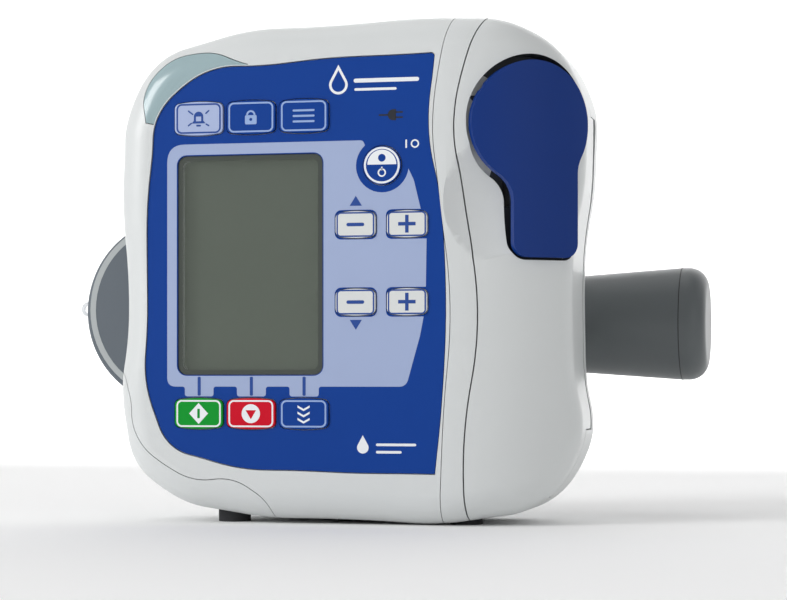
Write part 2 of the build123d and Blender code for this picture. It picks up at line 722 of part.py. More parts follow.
with BuildPart() as rear_housing:
    add(shell_form)
    for screw_x, screw_z in SCREW_PLACES:
        add(bar_y(screw_x, screw_z, CASE_BOSS_R, SPLIT_Y, REAR_Y - 1))
    add(bar_z(HINGE_AT_X, HINGE_Y, LUG_R, BAR_LOW_Z - HINGE_LUG, BAR_LOW_Z))
    add(bar_z(HINGE_AT_X, HINGE_Y, LUG_R, BAR_HIGH_Z, BAR_HIGH_Z + HINGE_LUG))
    add(outer_form, mode=Mode.INTERSECT)
    add(slab(DOOR_END_Y + DOOR_GAP, FAR), mode=Mode.INTERSECT)
    add(slab(-FAR, SPLIT_Y, -FAR, FRAME_RIGHT_X), mode=Mode.SUBTRACT)
    add(
        slab(-FAR, HINGE_Y + DOOR_GAP, DOOR_SIDE_X - 0.6, FAR, BAR_LOW_Z - DOOR_GAP, BAR_HIGH_Z + DOOR_GAP),
        mode=Mode.SUBTRACT,
    )
    add(
        bar_z(HINGE_AT_X, HINGE_Y, HINGE_R + HINGE_CLEAR, BAR_LOW_Z - DOOR_GAP, BAR_HIGH_Z + DOOR_GAP),
        mode=Mode.SUBTRACT,
    )
    add(hinge_side(HINGE_Y - DOOR_END_Y - DOOR_GAP), mode=Mode.SUBTRACT)
    add(
        bar_z(HINGE_AT_X, HINGE_Y, HINGE_PIN_R, BAR_LOW_Z - HINGE_LUG, BAR_HIGH_Z + HINGE_LUG),
        mode=Mode.SUBTRACT,
    )
    for screw_x, screw_z in SCREW_PLACES:
        add(bar_y(screw_x, screw_z, CASE_SCREW_R, -FAR, FAR), mode=Mode.SUBTRACT)
        add(bar_y(screw_x, screw_z, CASE_HEAD_R, REAR_Y - COUNTERBORE, FAR), mode=Mode.SUBTRACT)
    for stud_x, stud_z in STUD_PLACES:
        add(bar_y(stud_x, stud_z, STUD_R + 0.2, REAR_Y - WALL - 1, FAR), mode=Mode.SUBTRACT)
    for contact_x, contact_z in CONTACT_PLACES:
        add(bar_y(contact_x, contact_z, CONTACT_R, REAR_Y - WALL - 1, FAR), mode=Mode.SUBTRACT)
    with BuildSketch(front_plane(FAR)):
        with Locations((SPEAKER_X, SPEAKER_Z)):
            with PolarLocations(6, 6):
                Circle(SOUND_HOLE_R)
            Circle(SOUND_HOLE_R)
    extrude(amount=FAR, mode=Mode.SUBTRACT)
save(rear_housing, "rear_housing")

# ---- Door ------------------------------------------------------------------------
with BuildPart() as door_bounds:
    add(slab(-FAR, DOOR_BACK_Y))
    add(slab(-FAR, DOOR_END_Y, DOOR_SIDE_X, FAR))
    add(hinge_side(HINGE_Y - DOOR_END_Y))
    add(slab(-FAR, HINGE_Y, DOOR_SIDE_X, FAR, BAR_LOW_Z, BAR_HIGH_Z))
    add(bar_z(HINGE_AT_X, HINGE_Y, HINGE_R, BAR_LOW_Z, BAR_HIGH_Z))
    add(door_zone, mode=Mode.INTERSECT)

with BuildPart() as door_hollow:
    add(inner_form)
    add(door_hollow_zone, mode=Mode.INTERSECT)
    add(bar_z(HINGE_AT_X, HINGE_Y, HINGE_R, BAR_LOW_Z, BAR_HIGH_Z), mode=Mode.SUBTRACT)
    add(tub, mode=Mode.SUBTRACT)
    add(scoop_skin, mode=Mode.SUBTRACT)

with BuildPart() as lever_pocket:
    add(pocket)
    add(lever_bar(BOSS_R, -BOSS_HALF, BOSS_HALF), mode=Mode.SUBTRACT)
    add(
        lever_box(-BOSS_HALF, BOSS_HALF, PIVOT_Z - BOSS_R, PIVOT_Z + BOSS_R, -TUB_DEPTH, -LEVER_PIVOT_DEPTH),
        mode=Mode.SUBTRACT,
    )

with BuildPart() as door_shell:
    add(outer_form)
    add(door_bounds.part, mode=Mode.INTERSECT)
    add(door_hollow.part, mode=Mode.SUBTRACT)
    add(scoop, mode=Mode.SUBTRACT)
    add(lever_pocket.part, mode=Mode.SUBTRACT)
    add(lever_bar(LEVER_PIN_R, -BOSS_HALF, BOSS_HALF), mode=Mode.SUBTRACT)
    add(
        lever_box(LATCH_LOW_S - SLOT_SIDE, LATCH_HIGH_S + SLOT_SIDE, SLOT_LOW_Z, SLOT_HIGH_Z, -FAR, 0),
        mode=Mode.SUBTRACT,
    )
    add(bar_z(HINGE_AT_X, HINGE_Y, HINGE_PIN_R + RUNNING_FIT, BAR_LOW_Z, BAR_HIGH_Z), mode=Mode.SUBTRACT)
save(door_shell, "door_shell")

INNER_SHEET = 1.6
with BuildPart() as door_inner_plate:
    add(inner_form)
    add(door_hollow_zone, mode=Mode.INTERSECT)
    add(slab(DOOR_BACK_Y - INNER_SHEET, DOOR_BACK_Y, -FAR, DOOR_SIDE_X), mode=Mode.INTERSECT)
    add(tub, mode=Mode.SUBTRACT)
    add(scoop_skin, mode=Mode.SUBTRACT)
    add(
        slab(-FAR, FAR, ROTOR_LOW_X - WINDOW_SIDE, ROTOR_HIGH_X + WINDOW_SIDE, PUMP_Z - 15.2, PUMP_Z + 15.2),
        mode=Mode.SUBTRACT,
    )
    add(slab(-FAR, FAR, FRAME_SLOT_LOW_X, FRAME_SLOT_HIGH_X, SLOT_LOW_Z, SLOT_HIGH_Z), mode=Mode.SUBTRACT)
save(door_inner_plate, "door_inner_plate")

with BuildPart() as hinge_pins:
    add(bar_z(HINGE_AT_X, HINGE_Y, HINGE_PIN_R, BAR_LOW_Z - HINGE_LUG + 1, BAR_LOW_Z + HINGE_LUG))
    add(bar_z(HINGE_AT_X, HINGE_Y, HINGE_PIN_R, BAR_HIGH_Z - HINGE_LUG, BAR_HIGH_Z + HINGE_LUG - 1))
save(hinge_pins, "hinge_pins")

# ---- Pressing plate behind the tube ----------------------------------------------
PLATEN_FRONT_Y = -13.9
PLATEN_HALF = 14.5
PLATEN_TRAVEL = 0.8
BED_R = ROTOR_REACH + SQUEEZE
with BuildPart() as pressing_plate:
    add(
        slab(
            PLATEN_FRONT_Y, DOOR_BACK_Y - 0.2, ROTOR_LOW_X - 0.2, ROTOR_HIGH_X + 0.2,
            PUMP_Z - PLATEN_HALF, PUMP_Z + PLATEN_HALF,
        )
    )
    add(bar_x(ROTOR_Y, PUMP_Z, BED_R, -FAR, FAR), mode=Mode.SUBTRACT)
save(pressing_plate, "pressing_plate")

SPRING_R = 2.2
SPRING_HOLE_R = 1.4
with BuildPart() as plate_springs:
    for spring_z in (PUMP_Z - 8, PUMP_Z + 8):
        add(bar_y(TUBE_X, spring_z, SPRING_R, -FAR, PLATEN_FRONT_Y - PLATEN_TRAVEL - 0.3))
        add(bar_y(TUBE_X, spring_z, SPRING_HOLE_R, -FAR, FAR), mode=Mode.SUBTRACT)
    add(inner_form, mode=Mode.INTERSECT)
save(plate_springs, "plate_springs")

# ---- Lever -----------------------------------------------------------------------
LEVER_ROUND = 1.0


def curve_ring(radius_low, radius_high):
    """Upright ring around the axis of the door's curve."""
    with BuildPart() as ring:
        with BuildSketch(Plane.XY.offset(-FAR)):
            with Locations((across(DOOR_CURVE_X), DOOR_CURVE_Y)):
                Circle(radius_high)
                Circle(radius_low, mode=Mode.SUBTRACT)
        extrude(amount=2 * FAR)
    return ring.part


with BuildPart() as door_lever:
    add(lever_block(0, 0, -14, 8))
    add(curve_ring(DOOR_CURVE_R - LEVER_IN, DOOR_CURVE_R + LEVER_OUT), mode=Mode.INTERSECT)
    outer_face = door_lever.faces().filter_by(GeomType.CYLINDER).sort_by(SortBy.AREA)[-1]
    fillet(outer_face.edges(), LEVER_ROUND)
    for side in (-1, 1):
        s_low = KNUCKLE_START if side > 0 else -KNUCKLE_END
        s_high = s_low + KNUCKLE_END - KNUCKLE_START
        add(lever_bar(BOSS_R, s_low, s_high))
        add(lever_box(s_low, s_high, PIVOT_Z - BOSS_R, PIVOT_Z + BOSS_R, -LEVER_PIVOT_DEPTH, -1))
    add(lever_bar(LEVER_PIN_R + RUNNING_FIT, -20, 20), mode=Mode.SUBTRACT)
save(door_lever, "door_lever")

with BuildPart() as lever_pin:
    add(lever_bar(LEVER_PIN_R, -KNUCKLE_END, KNUCKLE_END))
save(lever_pin, "lever_pin")

with BuildPart() as latch_hook:
    add(lever_box(LATCH_LOW_S, LATCH_HIGH_S, LATCH_LOW_Z, LATCH_HIGH_Z, -LATCH_REACH, 0))
    nose_depth = -LATCH_REACH + 3
    add(lever_box(LATCH_LOW_S, LATCH_HIGH_S, LATCH_LOW_Z, LATCH_HIGH_Z + LATCH_NOSE, -LATCH_REACH, nose_depth))
    add(curve_ring(DOOR_CURVE_R - LEVER_IN, FAR), mode=Mode.SUBTRACT)
save(latch_hook, "latch_hook")

# ---- Rotor, rollers and drive ----------------------------------------------------
ROLLER_AXLE_R = 1.2
ROLLER_END = 0.2
HUB_R = 3.5
ROLLERS = 3
roller_places = [
    (
        ROTOR_Y - ROLLER_ORBIT * math.cos(2 * math.pi * k / ROLLERS),
        PUMP_Z + ROLLER_ORBIT * math.sin(2 * math.pi * k / ROLLERS),
    )
    for k in range(ROLLERS)
]

with BuildPart() as rotor:
    for disc_x in (ROTOR_LOW_X, ROTOR_HIGH_X - DISC_SHEET):
        add(bar_x(ROTOR_Y, PUMP_Z, DISC_R, disc_x, disc_x + DISC_SHEET))
    add(bar_x(ROTOR_Y, PUMP_Z, HUB_R, ROTOR_LOW_X, ROTOR_HIGH_X))
    add(bar_x(ROTOR_Y, PUMP_Z, SHAFT_R, -FAR, FAR), mode=Mode.SUBTRACT)
    for roller_y, roller_z in roller_places:
        add(bar_x(roller_y, roller_z, ROLLER_AXLE_R, -FAR, FAR), mode=Mode.SUBTRACT)
save(rotor, "rotor")

with BuildPart() as roller_axles:
    for roller_y, roller_z in roller_places:
        add(bar_x(roller_y, roller_z, ROLLER_AXLE_R, ROTOR_LOW_X, ROTOR_HIGH_X))
save(roller_axles, "roller_axles")

for index, (roller_y, roller_z) in enumerate(roller_places, 1):
    with BuildPart() as roller:
        low_x = ROTOR_LOW_X + DISC_SHEET + ROLLER_END
        high_x = ROTOR_HIGH_X - DISC_SHEET - ROLLER_END
        add(bar_x(roller_y, roller_z, ROLLER_R, low_x, high_x))
        fillet(roller.edges(), 0.5)
        add(bar_x(roller_y, roller_z, ROLLER_AXLE_R + RUNNING_FIT, -FAR, FAR), mode=Mode.SUBTRACT)
    save(roller, f"roller_{index}")

GEARBOX_HIGH_X = RIB_LEFT_X - 9.5
GEARBOX_LENGTH = 19.0
MOTOR_LENGTH = 32.0
COUPLING_R = 4.0
BRACKET_SHEET = 1.6
SHAFT_JOIN_X = GEARBOX_HIGH_X + 5.5

with BuildPart() as rotor_shaft:
    add(bar_x(ROTOR_Y, PUMP_Z, SHAFT_R, SHAFT_JOIN_X, FRAME_RIGHT_X - 0.2))
save(rotor_shaft, "rotor_shaft")

with BuildPart() as gearbox_shaft:
    add(bar_x(ROTOR_Y, PUMP_Z, SHAFT_R, GEARBOX_HIGH_X, SHAFT_JOIN_X))
save(gearbox_shaft, "gearbox_shaft")

with BuildPart() as shaft_coupling:
    add(bar_x(ROTOR_Y, PUMP_Z, COUPLING_R, GEARBOX_HIGH_X + BRACKET_SHEET + 0.6, RIB_LEFT_X - 0.5))
    add(bar_x(ROTOR_Y, PUMP_Z, SHAFT_R, -FAR, FAR), mode=Mode.SUBTRACT)
save(shaft_coupling, "shaft_coupling")

with BuildPart() as rotor_bushes:
    for bush_x in (RIB_LEFT_X, FRAME_RIGHT_X - RIB_SHEET):
        add(bar_x(ROTOR_Y, PUMP_Z, BUSH_R, bush_x, bush_x + RIB_SHEET))
    add(bar_x(ROTOR_Y, PUMP_Z, SHAFT_R + RUNNING_FIT, -FAR, FAR), mode=Mode.SUBTRACT)
save(rotor_bushes, "rotor_bushes")

with BuildPart() as gearbox:
    add(bar_x(ROTOR_Y, PUMP_Z, MOTOR_R, GEARBOX_HIGH_X - GEARBOX_LENGTH, GEARBOX_HIGH_X))
save(gearbox, "gearbox")

with BuildPart() as pump_motor:
    motor_high_x = GEARBOX_HIGH_X - GEARBOX_LENGTH
    add(bar_x(ROTOR_Y, PUMP_Z, MOTOR_R - 0.6, motor_high_x - MOTOR_LENGTH, motor_high_x))
    add(bar_x(ROTOR_Y, PUMP_Z, 3.0, motor_high_x - MOTOR_LENGTH - 2, motor_high_x))
save(pump_motor, "pump_motor")

with BuildPart() as motor_bracket:
    add(
        slab(
            ROTOR_Y - MOTOR_R, REAR_Y - WALL, GEARBOX_HIGH_X, GEARBOX_HIGH_X + BRACKET_SHEET,
            PUMP_Z - MOTOR_R - 1, PUMP_Z + MOTOR_R + 1,
        )
    )
    add(bar_x(ROTOR_Y, PUMP_Z, SHAFT_R + 1.5, -FAR, FAR), mode=Mode.SUBTRACT)
save(motor_bracket, "motor_bracket")

# ---- Battery, loudspeaker, sensors and contacts ----------------------------------
BATTERY_WIDTH = 50.0
BATTERY_DEPTH = 20.0
BATTERY_HEIGHT = 24.0
with BuildPart() as battery_pack:
    with Locations((across(-14), 2.0, up(9) + BATTERY_HEIGHT / 2)):
        Box(BATTERY_WIDTH, BATTERY_DEPTH, BATTERY_HEIGHT)
    fillet(battery_pack.edges(), 2.0)
save(battery_pack, "battery_pack")

SPEAKER_DEPTH = 5.0
with BuildPart() as loudspeaker:
    add(bar_y(SPEAKER_X, SPEAKER_Z, SPEAKER_R, REAR_Y - WALL - SPEAKER_DEPTH, REAR_Y - WALL))
save(loudspeaker, "loudspeaker")

SENSOR_WIDTH = 9.0
SENSOR_HEIGHT = 10.0
with BuildPart() as tube_sensors:
    for sensor_z in (up(80), up(20)):
        add(
            slab(
                FRAME_BACK_Y, FRAME_BACK_Y + 5, TUBE_X - SENSOR_WIDTH / 2, TUBE_X + SENSOR_WIDTH / 2,
                sensor_z - SENSOR_HEIGHT / 2, sensor_z + SENSOR_HEIGHT / 2,
            )
        )
save(tube_sensors, "tube_sensors")

with BuildPart() as charging_contacts:
    for contact_x, contact_z in CONTACT_PLACES:
        add(bar_y(contact_x, contact_z, CONTACT_R, REAR_Y - WALL - 2, REAR_Y + HOLDER_GAP))
save(charging_contacts, "charging_contacts")

with BuildPart() as case_screws:
    for screw_x, screw_z in SCREW_PLACES:
        head_y = REAR_Y - COUNTERBORE
        add(bar_y(screw_x, screw_z, CASE_HEAD_R, head_y, head_y + CASE_HEAD))
        add(bar_y(screw_x, screw_z, CASE_SCREW_R, FLOOR_BACK_Y + 6, head_y))
        add(bar_y(screw_x, screw_z, 0.9, head_y + CASE_HEAD - 0.9, FAR), mode=Mode.SUBTRACT)
save(case_screws, "case_screws")

FOOT_R = 4.5
FOOT_HEIGHT = 4.0
FOOT_PLACES = [(across(x), FRONT_Y + 15) for x in (-34, 32)]
REAR_FOOT_LENGTH = 26.0
REAR_FOOT_Y = 8.0
with BuildPart() as rubber_feet:
    for foot_x, foot_y in FOOT_PLACES:
        add(bar_z(foot_x, foot_y, FOOT_R, 0, FOOT_HEIGHT))
    with BuildSketch():
        with Locations((0, REAR_FOOT_Y)):
            SlotOverall(REAR_FOOT_LENGTH, 3 * FOOT_R, rotation=90)
    extrude(amount=FOOT_HEIGHT)
    add(outer_form, mode=Mode.SUBTRACT)
save(rubber_feet, "rubber_feet")

# ---- Holder ----------------------------------------------------------------------
HOLDER_FRONT_Y = REAR_Y + HOLDER_GAP
HOLDER_BACK_Y = HOLDER_FRONT_Y + HOLDER_PLATE
HOLDER_ROUND = 10.0
HOLDER_LOW_X = across(-62)
HOLDER_HIGH_X = across(46)
HOLDER_LOW_Z = up(24)
HOLDER_HIGH_Z = up(92)
RELEASE_PIN_X = across(-64) - 4.0
RELEASE_PIN_Y = 29.0
RELEASE_PIN_R = 1.5
RELEASE_Z = up(59.5)
EAR_LUG_R = 4.0
KNUCKLE_HALF = 9.0
EAR_HALF = 17.0

with BuildPart() as holder_body:
    with BuildSketch(front_plane(HOLDER_BACK_Y)):
        with Locations(((HOLDER_LOW_X + HOLDER_HIGH_X) / 2, (HOLDER_LOW_Z + HOLDER_HIGH_Z) / 2)):
            RectangleRounded(HOLDER_HIGH_X - HOLDER_LOW_X, HOLDER_HIGH_Z - HOLDER_LOW_Z, HOLDER_ROUND)
    extrude(amount=HOLDER_PLATE)
    fillet(holder_body.faces().sort_by(Axis.Y)[-1].edges(), 2.5)
    for side in (-1, 1):
        ear_low = min(side * (KNUCKLE_HALF + 0.3), side * EAR_HALF) + RELEASE_Z
        ear_high = max(side * (KNUCKLE_HALF + 0.3), side * EAR_HALF) + RELEASE_Z
        add(bar_z(RELEASE_PIN_X, RELEASE_PIN_Y, EAR_LUG_R, ear_low, ear_high))
        add(slab(RELEASE_PIN_Y - 2, RELEASE_PIN_Y + 3, RELEASE_PIN_X, HOLDER_LOW_X + 2, ear_low, ear_high))
    add(bar_z(RELEASE_PIN_X, RELEASE_PIN_Y, RELEASE_PIN_R, -FAR, FAR), mode=Mode.SUBTRACT)
save(holder_body, "holder_body")

with BuildPart() as release_pin:
    add(bar_z(RELEASE_PIN_X, RELEASE_PIN_Y, RELEASE_PIN_R, RELEASE_Z - EAR_HALF, RELEASE_Z + EAR_HALF))
save(release_pin, "release_pin")

RELEASE_OUT = 19.0
RELEASE_IN = 2.2
RELEASE_HALF = 26.0
RELEASE_FRONT_Y = 10.0
RELEASE_REAR_Y = 24.0
RELEASE_ROUND = 2.5
release_edge_x = across(-64.2) - 1.6
with BuildPart() as release_lever:
    with BuildSketch(front_plane(RELEASE_REAR_Y)) as release_outline:
        with BuildLine():
            top = (release_edge_x, RELEASE_Z + RELEASE_HALF)
            low = (release_edge_x, RELEASE_Z - RELEASE_HALF)
            ThreePointArc(top, (release_edge_x - RELEASE_OUT, RELEASE_Z + 1), low)
            ThreePointArc(low, (release_edge_x - RELEASE_IN, RELEASE_Z), top)
        make_face()
        fillet(release_outline.vertices(), 1.0)
    extrude(amount=RELEASE_REAR_Y - RELEASE_FRONT_Y)
    fillet(release_lever.faces().sort_by(Axis.Y)[0].edges(), RELEASE_ROUND / 2)
    add(bar_z(RELEASE_PIN_X, RELEASE_PIN_Y, EAR_LUG_R, RELEASE_Z - KNUCKLE_HALF, RELEASE_Z + KNUCKLE_HALF))
    add(
        slab(
            RELEASE_REAR_Y - 3, RELEASE_PIN_Y, RELEASE_PIN_X - EAR_LUG_R, RELEASE_PIN_X,
            RELEASE_Z - KNUCKLE_HALF, RELEASE_Z + KNUCKLE_HALF,
        )
    )
    add(bar_z(RELEASE_PIN_X, RELEASE_PIN_Y, RELEASE_PIN_R + RUNNING_FIT, -FAR, FAR), mode=Mode.SUBTRACT)
save(release_lever, "release_lever")

LOOP_R = 1.7
LOOP_WIRE_R = 0.5
LOOP_Y = 17.0
loop_x = release_edge_x - RELEASE_OUT - LOOP_R
with BuildPart() as tether_loop:
    with BuildSketch(front_plane(LOOP_Y)):
        with Locations((loop_x, RELEASE_Z + 1)):
            Circle(LOOP_R + LOOP_WIRE_R)
            Circle(LOOP_R - LOOP_WIRE_R, mode=Mode.SUBTRACT)
    extrude(amount=LOOP_WIRE_R, both=True)
    add(release_lever.part, mode=Mode.SUBTRACT)
save(tether_loop, "tether_loop")

BUFFER_R = 4.0
BUFFER_PLACES = [
    (HOLDER_LOW_X + 12, HOLDER_LOW_Z + 12),
    (HOLDER_HIGH_X - 12, HOLDER_LOW_Z + 12),
    (0, HOLDER_HIGH_Z - 6),
]
with BuildPart() as holder_buffers:
    for buffer_x, buffer_z in BUFFER_PLACES:
        add(bar_y(buffer_x, buffer_z, BUFFER_R, REAR_Y, HOLDER_FRONT_Y))
save(holder_buffers, "holder_buffers")

with BuildPart() as docking_studs:
    for stud_x, stud_z in STUD_PLACES:
        add(bar_y(stud_x, stud_z, STUD_R, REAR_Y - WALL + 0.4, HOLDER_FRONT_Y))
save(docking_studs, "docking_studs")

# ---- Pole clamp ------------------------------------------------------------------
SEAT_GAP = 0.1
SEAT_ANGLE = math.radians(60.0)
ARM_FAR_Y = POLE_Y + POLE_R + 2.0
BASE_BACK_Y = POLE_Y - POLE_R - 1.2
LEFT_ARM = 14.0
LEFT_ARM_LOW_X = POLE_X - POLE_R - LEFT_ARM
LEFT_ARM_HIGH_X = POLE_X - (POLE_R + SEAT_GAP) * math.cos(SEAT_ANGLE)
PAD_REST_GAP = 4.0
PAD_FACE_X = POLE_X + POLE_R + PAD_REST_GAP
PAD_THICK = 6.0
PAD_BACK_X = PAD_FACE_X + PAD_THICK
RIGHT_ARM_LOW_X = PAD_BACK_X + 3.0
RIGHT_ARM = 15.0
RIGHT_ARM_HIGH_X = RIGHT_ARM_LOW_X + RIGHT_ARM
CLAMP_AT_Z = up(CLAMP_Z)
clamp_low_z = CLAMP_AT_Z - CLAMP_HEIGHT / 2
clamp_high_z = CLAMP_AT_Z + CLAMP_HEIGHT / 2

with BuildPart() as clamp_body:
    with BuildSketch(Plane.XY.offset(clamp_low_z)) as clamp_outline:
        with BuildLine():
            Polyline(
                (LEFT_ARM_LOW_X, HOLDER_BACK_Y),
                (RIGHT_ARM_HIGH_X, HOLDER_BACK_Y),
                (RIGHT_ARM_HIGH_X, ARM_FAR_Y - 2),
                (RIGHT_ARM_LOW_X, ARM_FAR_Y - 2),
                (RIGHT_ARM_LOW_X, BASE_BACK_Y),
                (LEFT_ARM_HIGH_X, BASE_BACK_Y),
                (LEFT_ARM_HIGH_X, ARM_FAR_Y),
                (LEFT_ARM_LOW_X, ARM_FAR_Y),
                close=True,
            )
        make_face()
        fillet(clamp_outline.vertices().group_by(Axis.Y)[-1], 4.0)
        with Locations((POLE_X, POLE_Y)):
            Circle(POLE_R + SEAT_GAP, mode=Mode.SUBTRACT)
    extrude(amount=CLAMP_HEIGHT)
    add(bar_x(POLE_Y, CLAMP_AT_Z, SCREW_R + RUNNING_FIT, RIGHT_ARM_LOW_X - 1, FAR), mode=Mode.SUBTRACT)
save(clamp_body, "clamp_body")

PAD_WIDTH = 18.0
PAD_HEIGHT = 24.0
NOSE_R = 3.0
NOSE = 4.0
with BuildPart() as clamp_pad:
    with BuildSketch(Plane.YZ.offset(PAD_FACE_X)):
        with Locations((POLE_Y, CLAMP_AT_Z)):
            RectangleRounded(PAD_WIDTH, PAD_HEIGHT, 3.0)
    extrude(amount=PAD_THICK)
    add(bar_x(POLE_Y, CLAMP_AT_Z, NOSE_R + RUNNING_FIT, PAD_BACK_X - NOSE, FAR), mode=Mode.SUBTRACT)
save(clamp_pad, "clamp_pad")

SCREW_IN_KNOB = 24.0
with BuildPart() as clamp_screw:
    add(bar_x(POLE_Y, CLAMP_AT_Z, SCREW_R, PAD_BACK_X + 0.2, KNOB_START_X + SCREW_IN_KNOB))
    add(bar_x(POLE_Y, CLAMP_AT_Z, NOSE_R, PAD_BACK_X - NOSE + 0.1, PAD_BACK_X + 0.2))
save(clamp_screw, "clamp_screw")

KNOB_END_X = KNOB_START_X + KNOB_LENGTH
with BuildPart() as clamp_knob:
    with BuildSketch(Plane.XY.offset(CLAMP_AT_Z)) as knob_profile:
        with BuildLine():
            Polyline(
                (KNOB_START_X, POLE_Y),
                (KNOB_START_X, POLE_Y + KNOB_SMALL_R),
                (KNOB_END_X, POLE_Y + KNOB_LARGE_R),
                (KNOB_END_X, POLE_Y),
                close=True,
            )
        make_face()
        fillet(knob_profile.vertices().group_by(Axis.X)[0].sort_by(Axis.Y)[-1:], 2.0)
    revolve(axis=Axis((KNOB_START_X, POLE_Y, CLAMP_AT_Z), (1, 0, 0)))
    screw_end_x = KNOB_START_X + SCREW_IN_KNOB
    add(bar_x(POLE_Y, CLAMP_AT_Z, SCREW_R, KNOB_START_X - 1, screw_end_x), mode=Mode.SUBTRACT)
save(clamp_knob, "clamp_knob")

CAP_ROUND = 5.5
with BuildPart() as knob_cap:
    add(bar_x(POLE_Y, CLAMP_AT_Z, KNOB_LARGE_R, KNOB_END_X, KNOB_END_X + KNOB_CAP))
    fillet(knob_cap.edges().group_by(Axis.X)[-1], CAP_ROUND)
save(knob_cap, "knob_cap")
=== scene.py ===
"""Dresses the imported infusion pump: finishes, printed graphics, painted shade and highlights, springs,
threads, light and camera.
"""

import json
import logging
import math
from dataclasses import dataclass, field
from enum import Enum
from typing import ClassVar, Iterable, Sequence

import bmesh
import bpy
from mathutils import Matrix, Vector
from mathutils.geometry import tessellate_polygon

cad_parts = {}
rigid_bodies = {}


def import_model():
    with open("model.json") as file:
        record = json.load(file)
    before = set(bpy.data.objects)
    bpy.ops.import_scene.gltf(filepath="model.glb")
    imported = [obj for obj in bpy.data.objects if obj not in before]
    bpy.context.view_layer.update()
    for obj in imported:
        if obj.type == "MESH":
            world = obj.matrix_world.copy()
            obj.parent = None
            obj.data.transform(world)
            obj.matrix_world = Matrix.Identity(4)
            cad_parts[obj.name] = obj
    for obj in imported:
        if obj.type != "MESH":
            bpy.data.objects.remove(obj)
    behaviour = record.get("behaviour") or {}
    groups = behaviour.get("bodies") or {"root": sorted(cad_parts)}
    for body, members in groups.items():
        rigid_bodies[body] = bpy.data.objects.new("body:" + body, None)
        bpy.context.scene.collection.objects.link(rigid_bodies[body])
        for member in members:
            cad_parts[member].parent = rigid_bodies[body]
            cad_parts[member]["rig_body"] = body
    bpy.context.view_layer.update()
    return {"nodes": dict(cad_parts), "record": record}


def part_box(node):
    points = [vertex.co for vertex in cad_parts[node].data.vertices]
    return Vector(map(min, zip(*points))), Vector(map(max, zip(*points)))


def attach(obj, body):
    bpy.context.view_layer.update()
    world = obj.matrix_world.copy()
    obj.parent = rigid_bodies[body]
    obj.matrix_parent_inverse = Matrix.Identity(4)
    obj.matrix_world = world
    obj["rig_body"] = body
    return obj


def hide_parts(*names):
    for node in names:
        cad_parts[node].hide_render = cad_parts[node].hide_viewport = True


MM = 0.001
LOG = logging.getLogger("infusion_pump")
Point = tuple[float, float]
Corner = tuple[float, float, float]
Triple = tuple[float, float, float]
Shape = list[list[Point]]

DRIFT_SCALE = 45.0
DRIFT_DETAIL = 4.0
GLOSS_SPREAD = 0.05
COAT_ROUGHNESS = 0.12
SPARK_DETAIL = 3.0
PLAIN_DETAIL = 1.5
BRUSH_STRETCH = 0.04
GLOSS_BUMP = 0.25
GRAIN_BUMP = 0.6
WELD = 0.002


class Grain(Enum):
    """How a surface is textured at close range."""

    GLOSS = "gloss"
    SATIN = "satin"
    SPARK = "spark"
    BRUSHED = "brushed"
    CELL = "cell"


def srgb(red: int, green: int, blue: int) -> tuple[float, float, float, float]:
    """Turn a display colour into a linear one.

    Args:
        red: Red from 0 to 255.
        green: Green from 0 to 255.
        blue: Blue from 0 to 255.

    Returns:
        The linear colour with full alpha.
    """

    def linear(value: int) -> float:
        """Linear share of one channel."""
        share = value / 255
        return share / 12.92 if share <= 0.04045 else ((share + 0.055) / 1.055) ** 2.4

    return linear(red), linear(green), linear(blue), 1.0


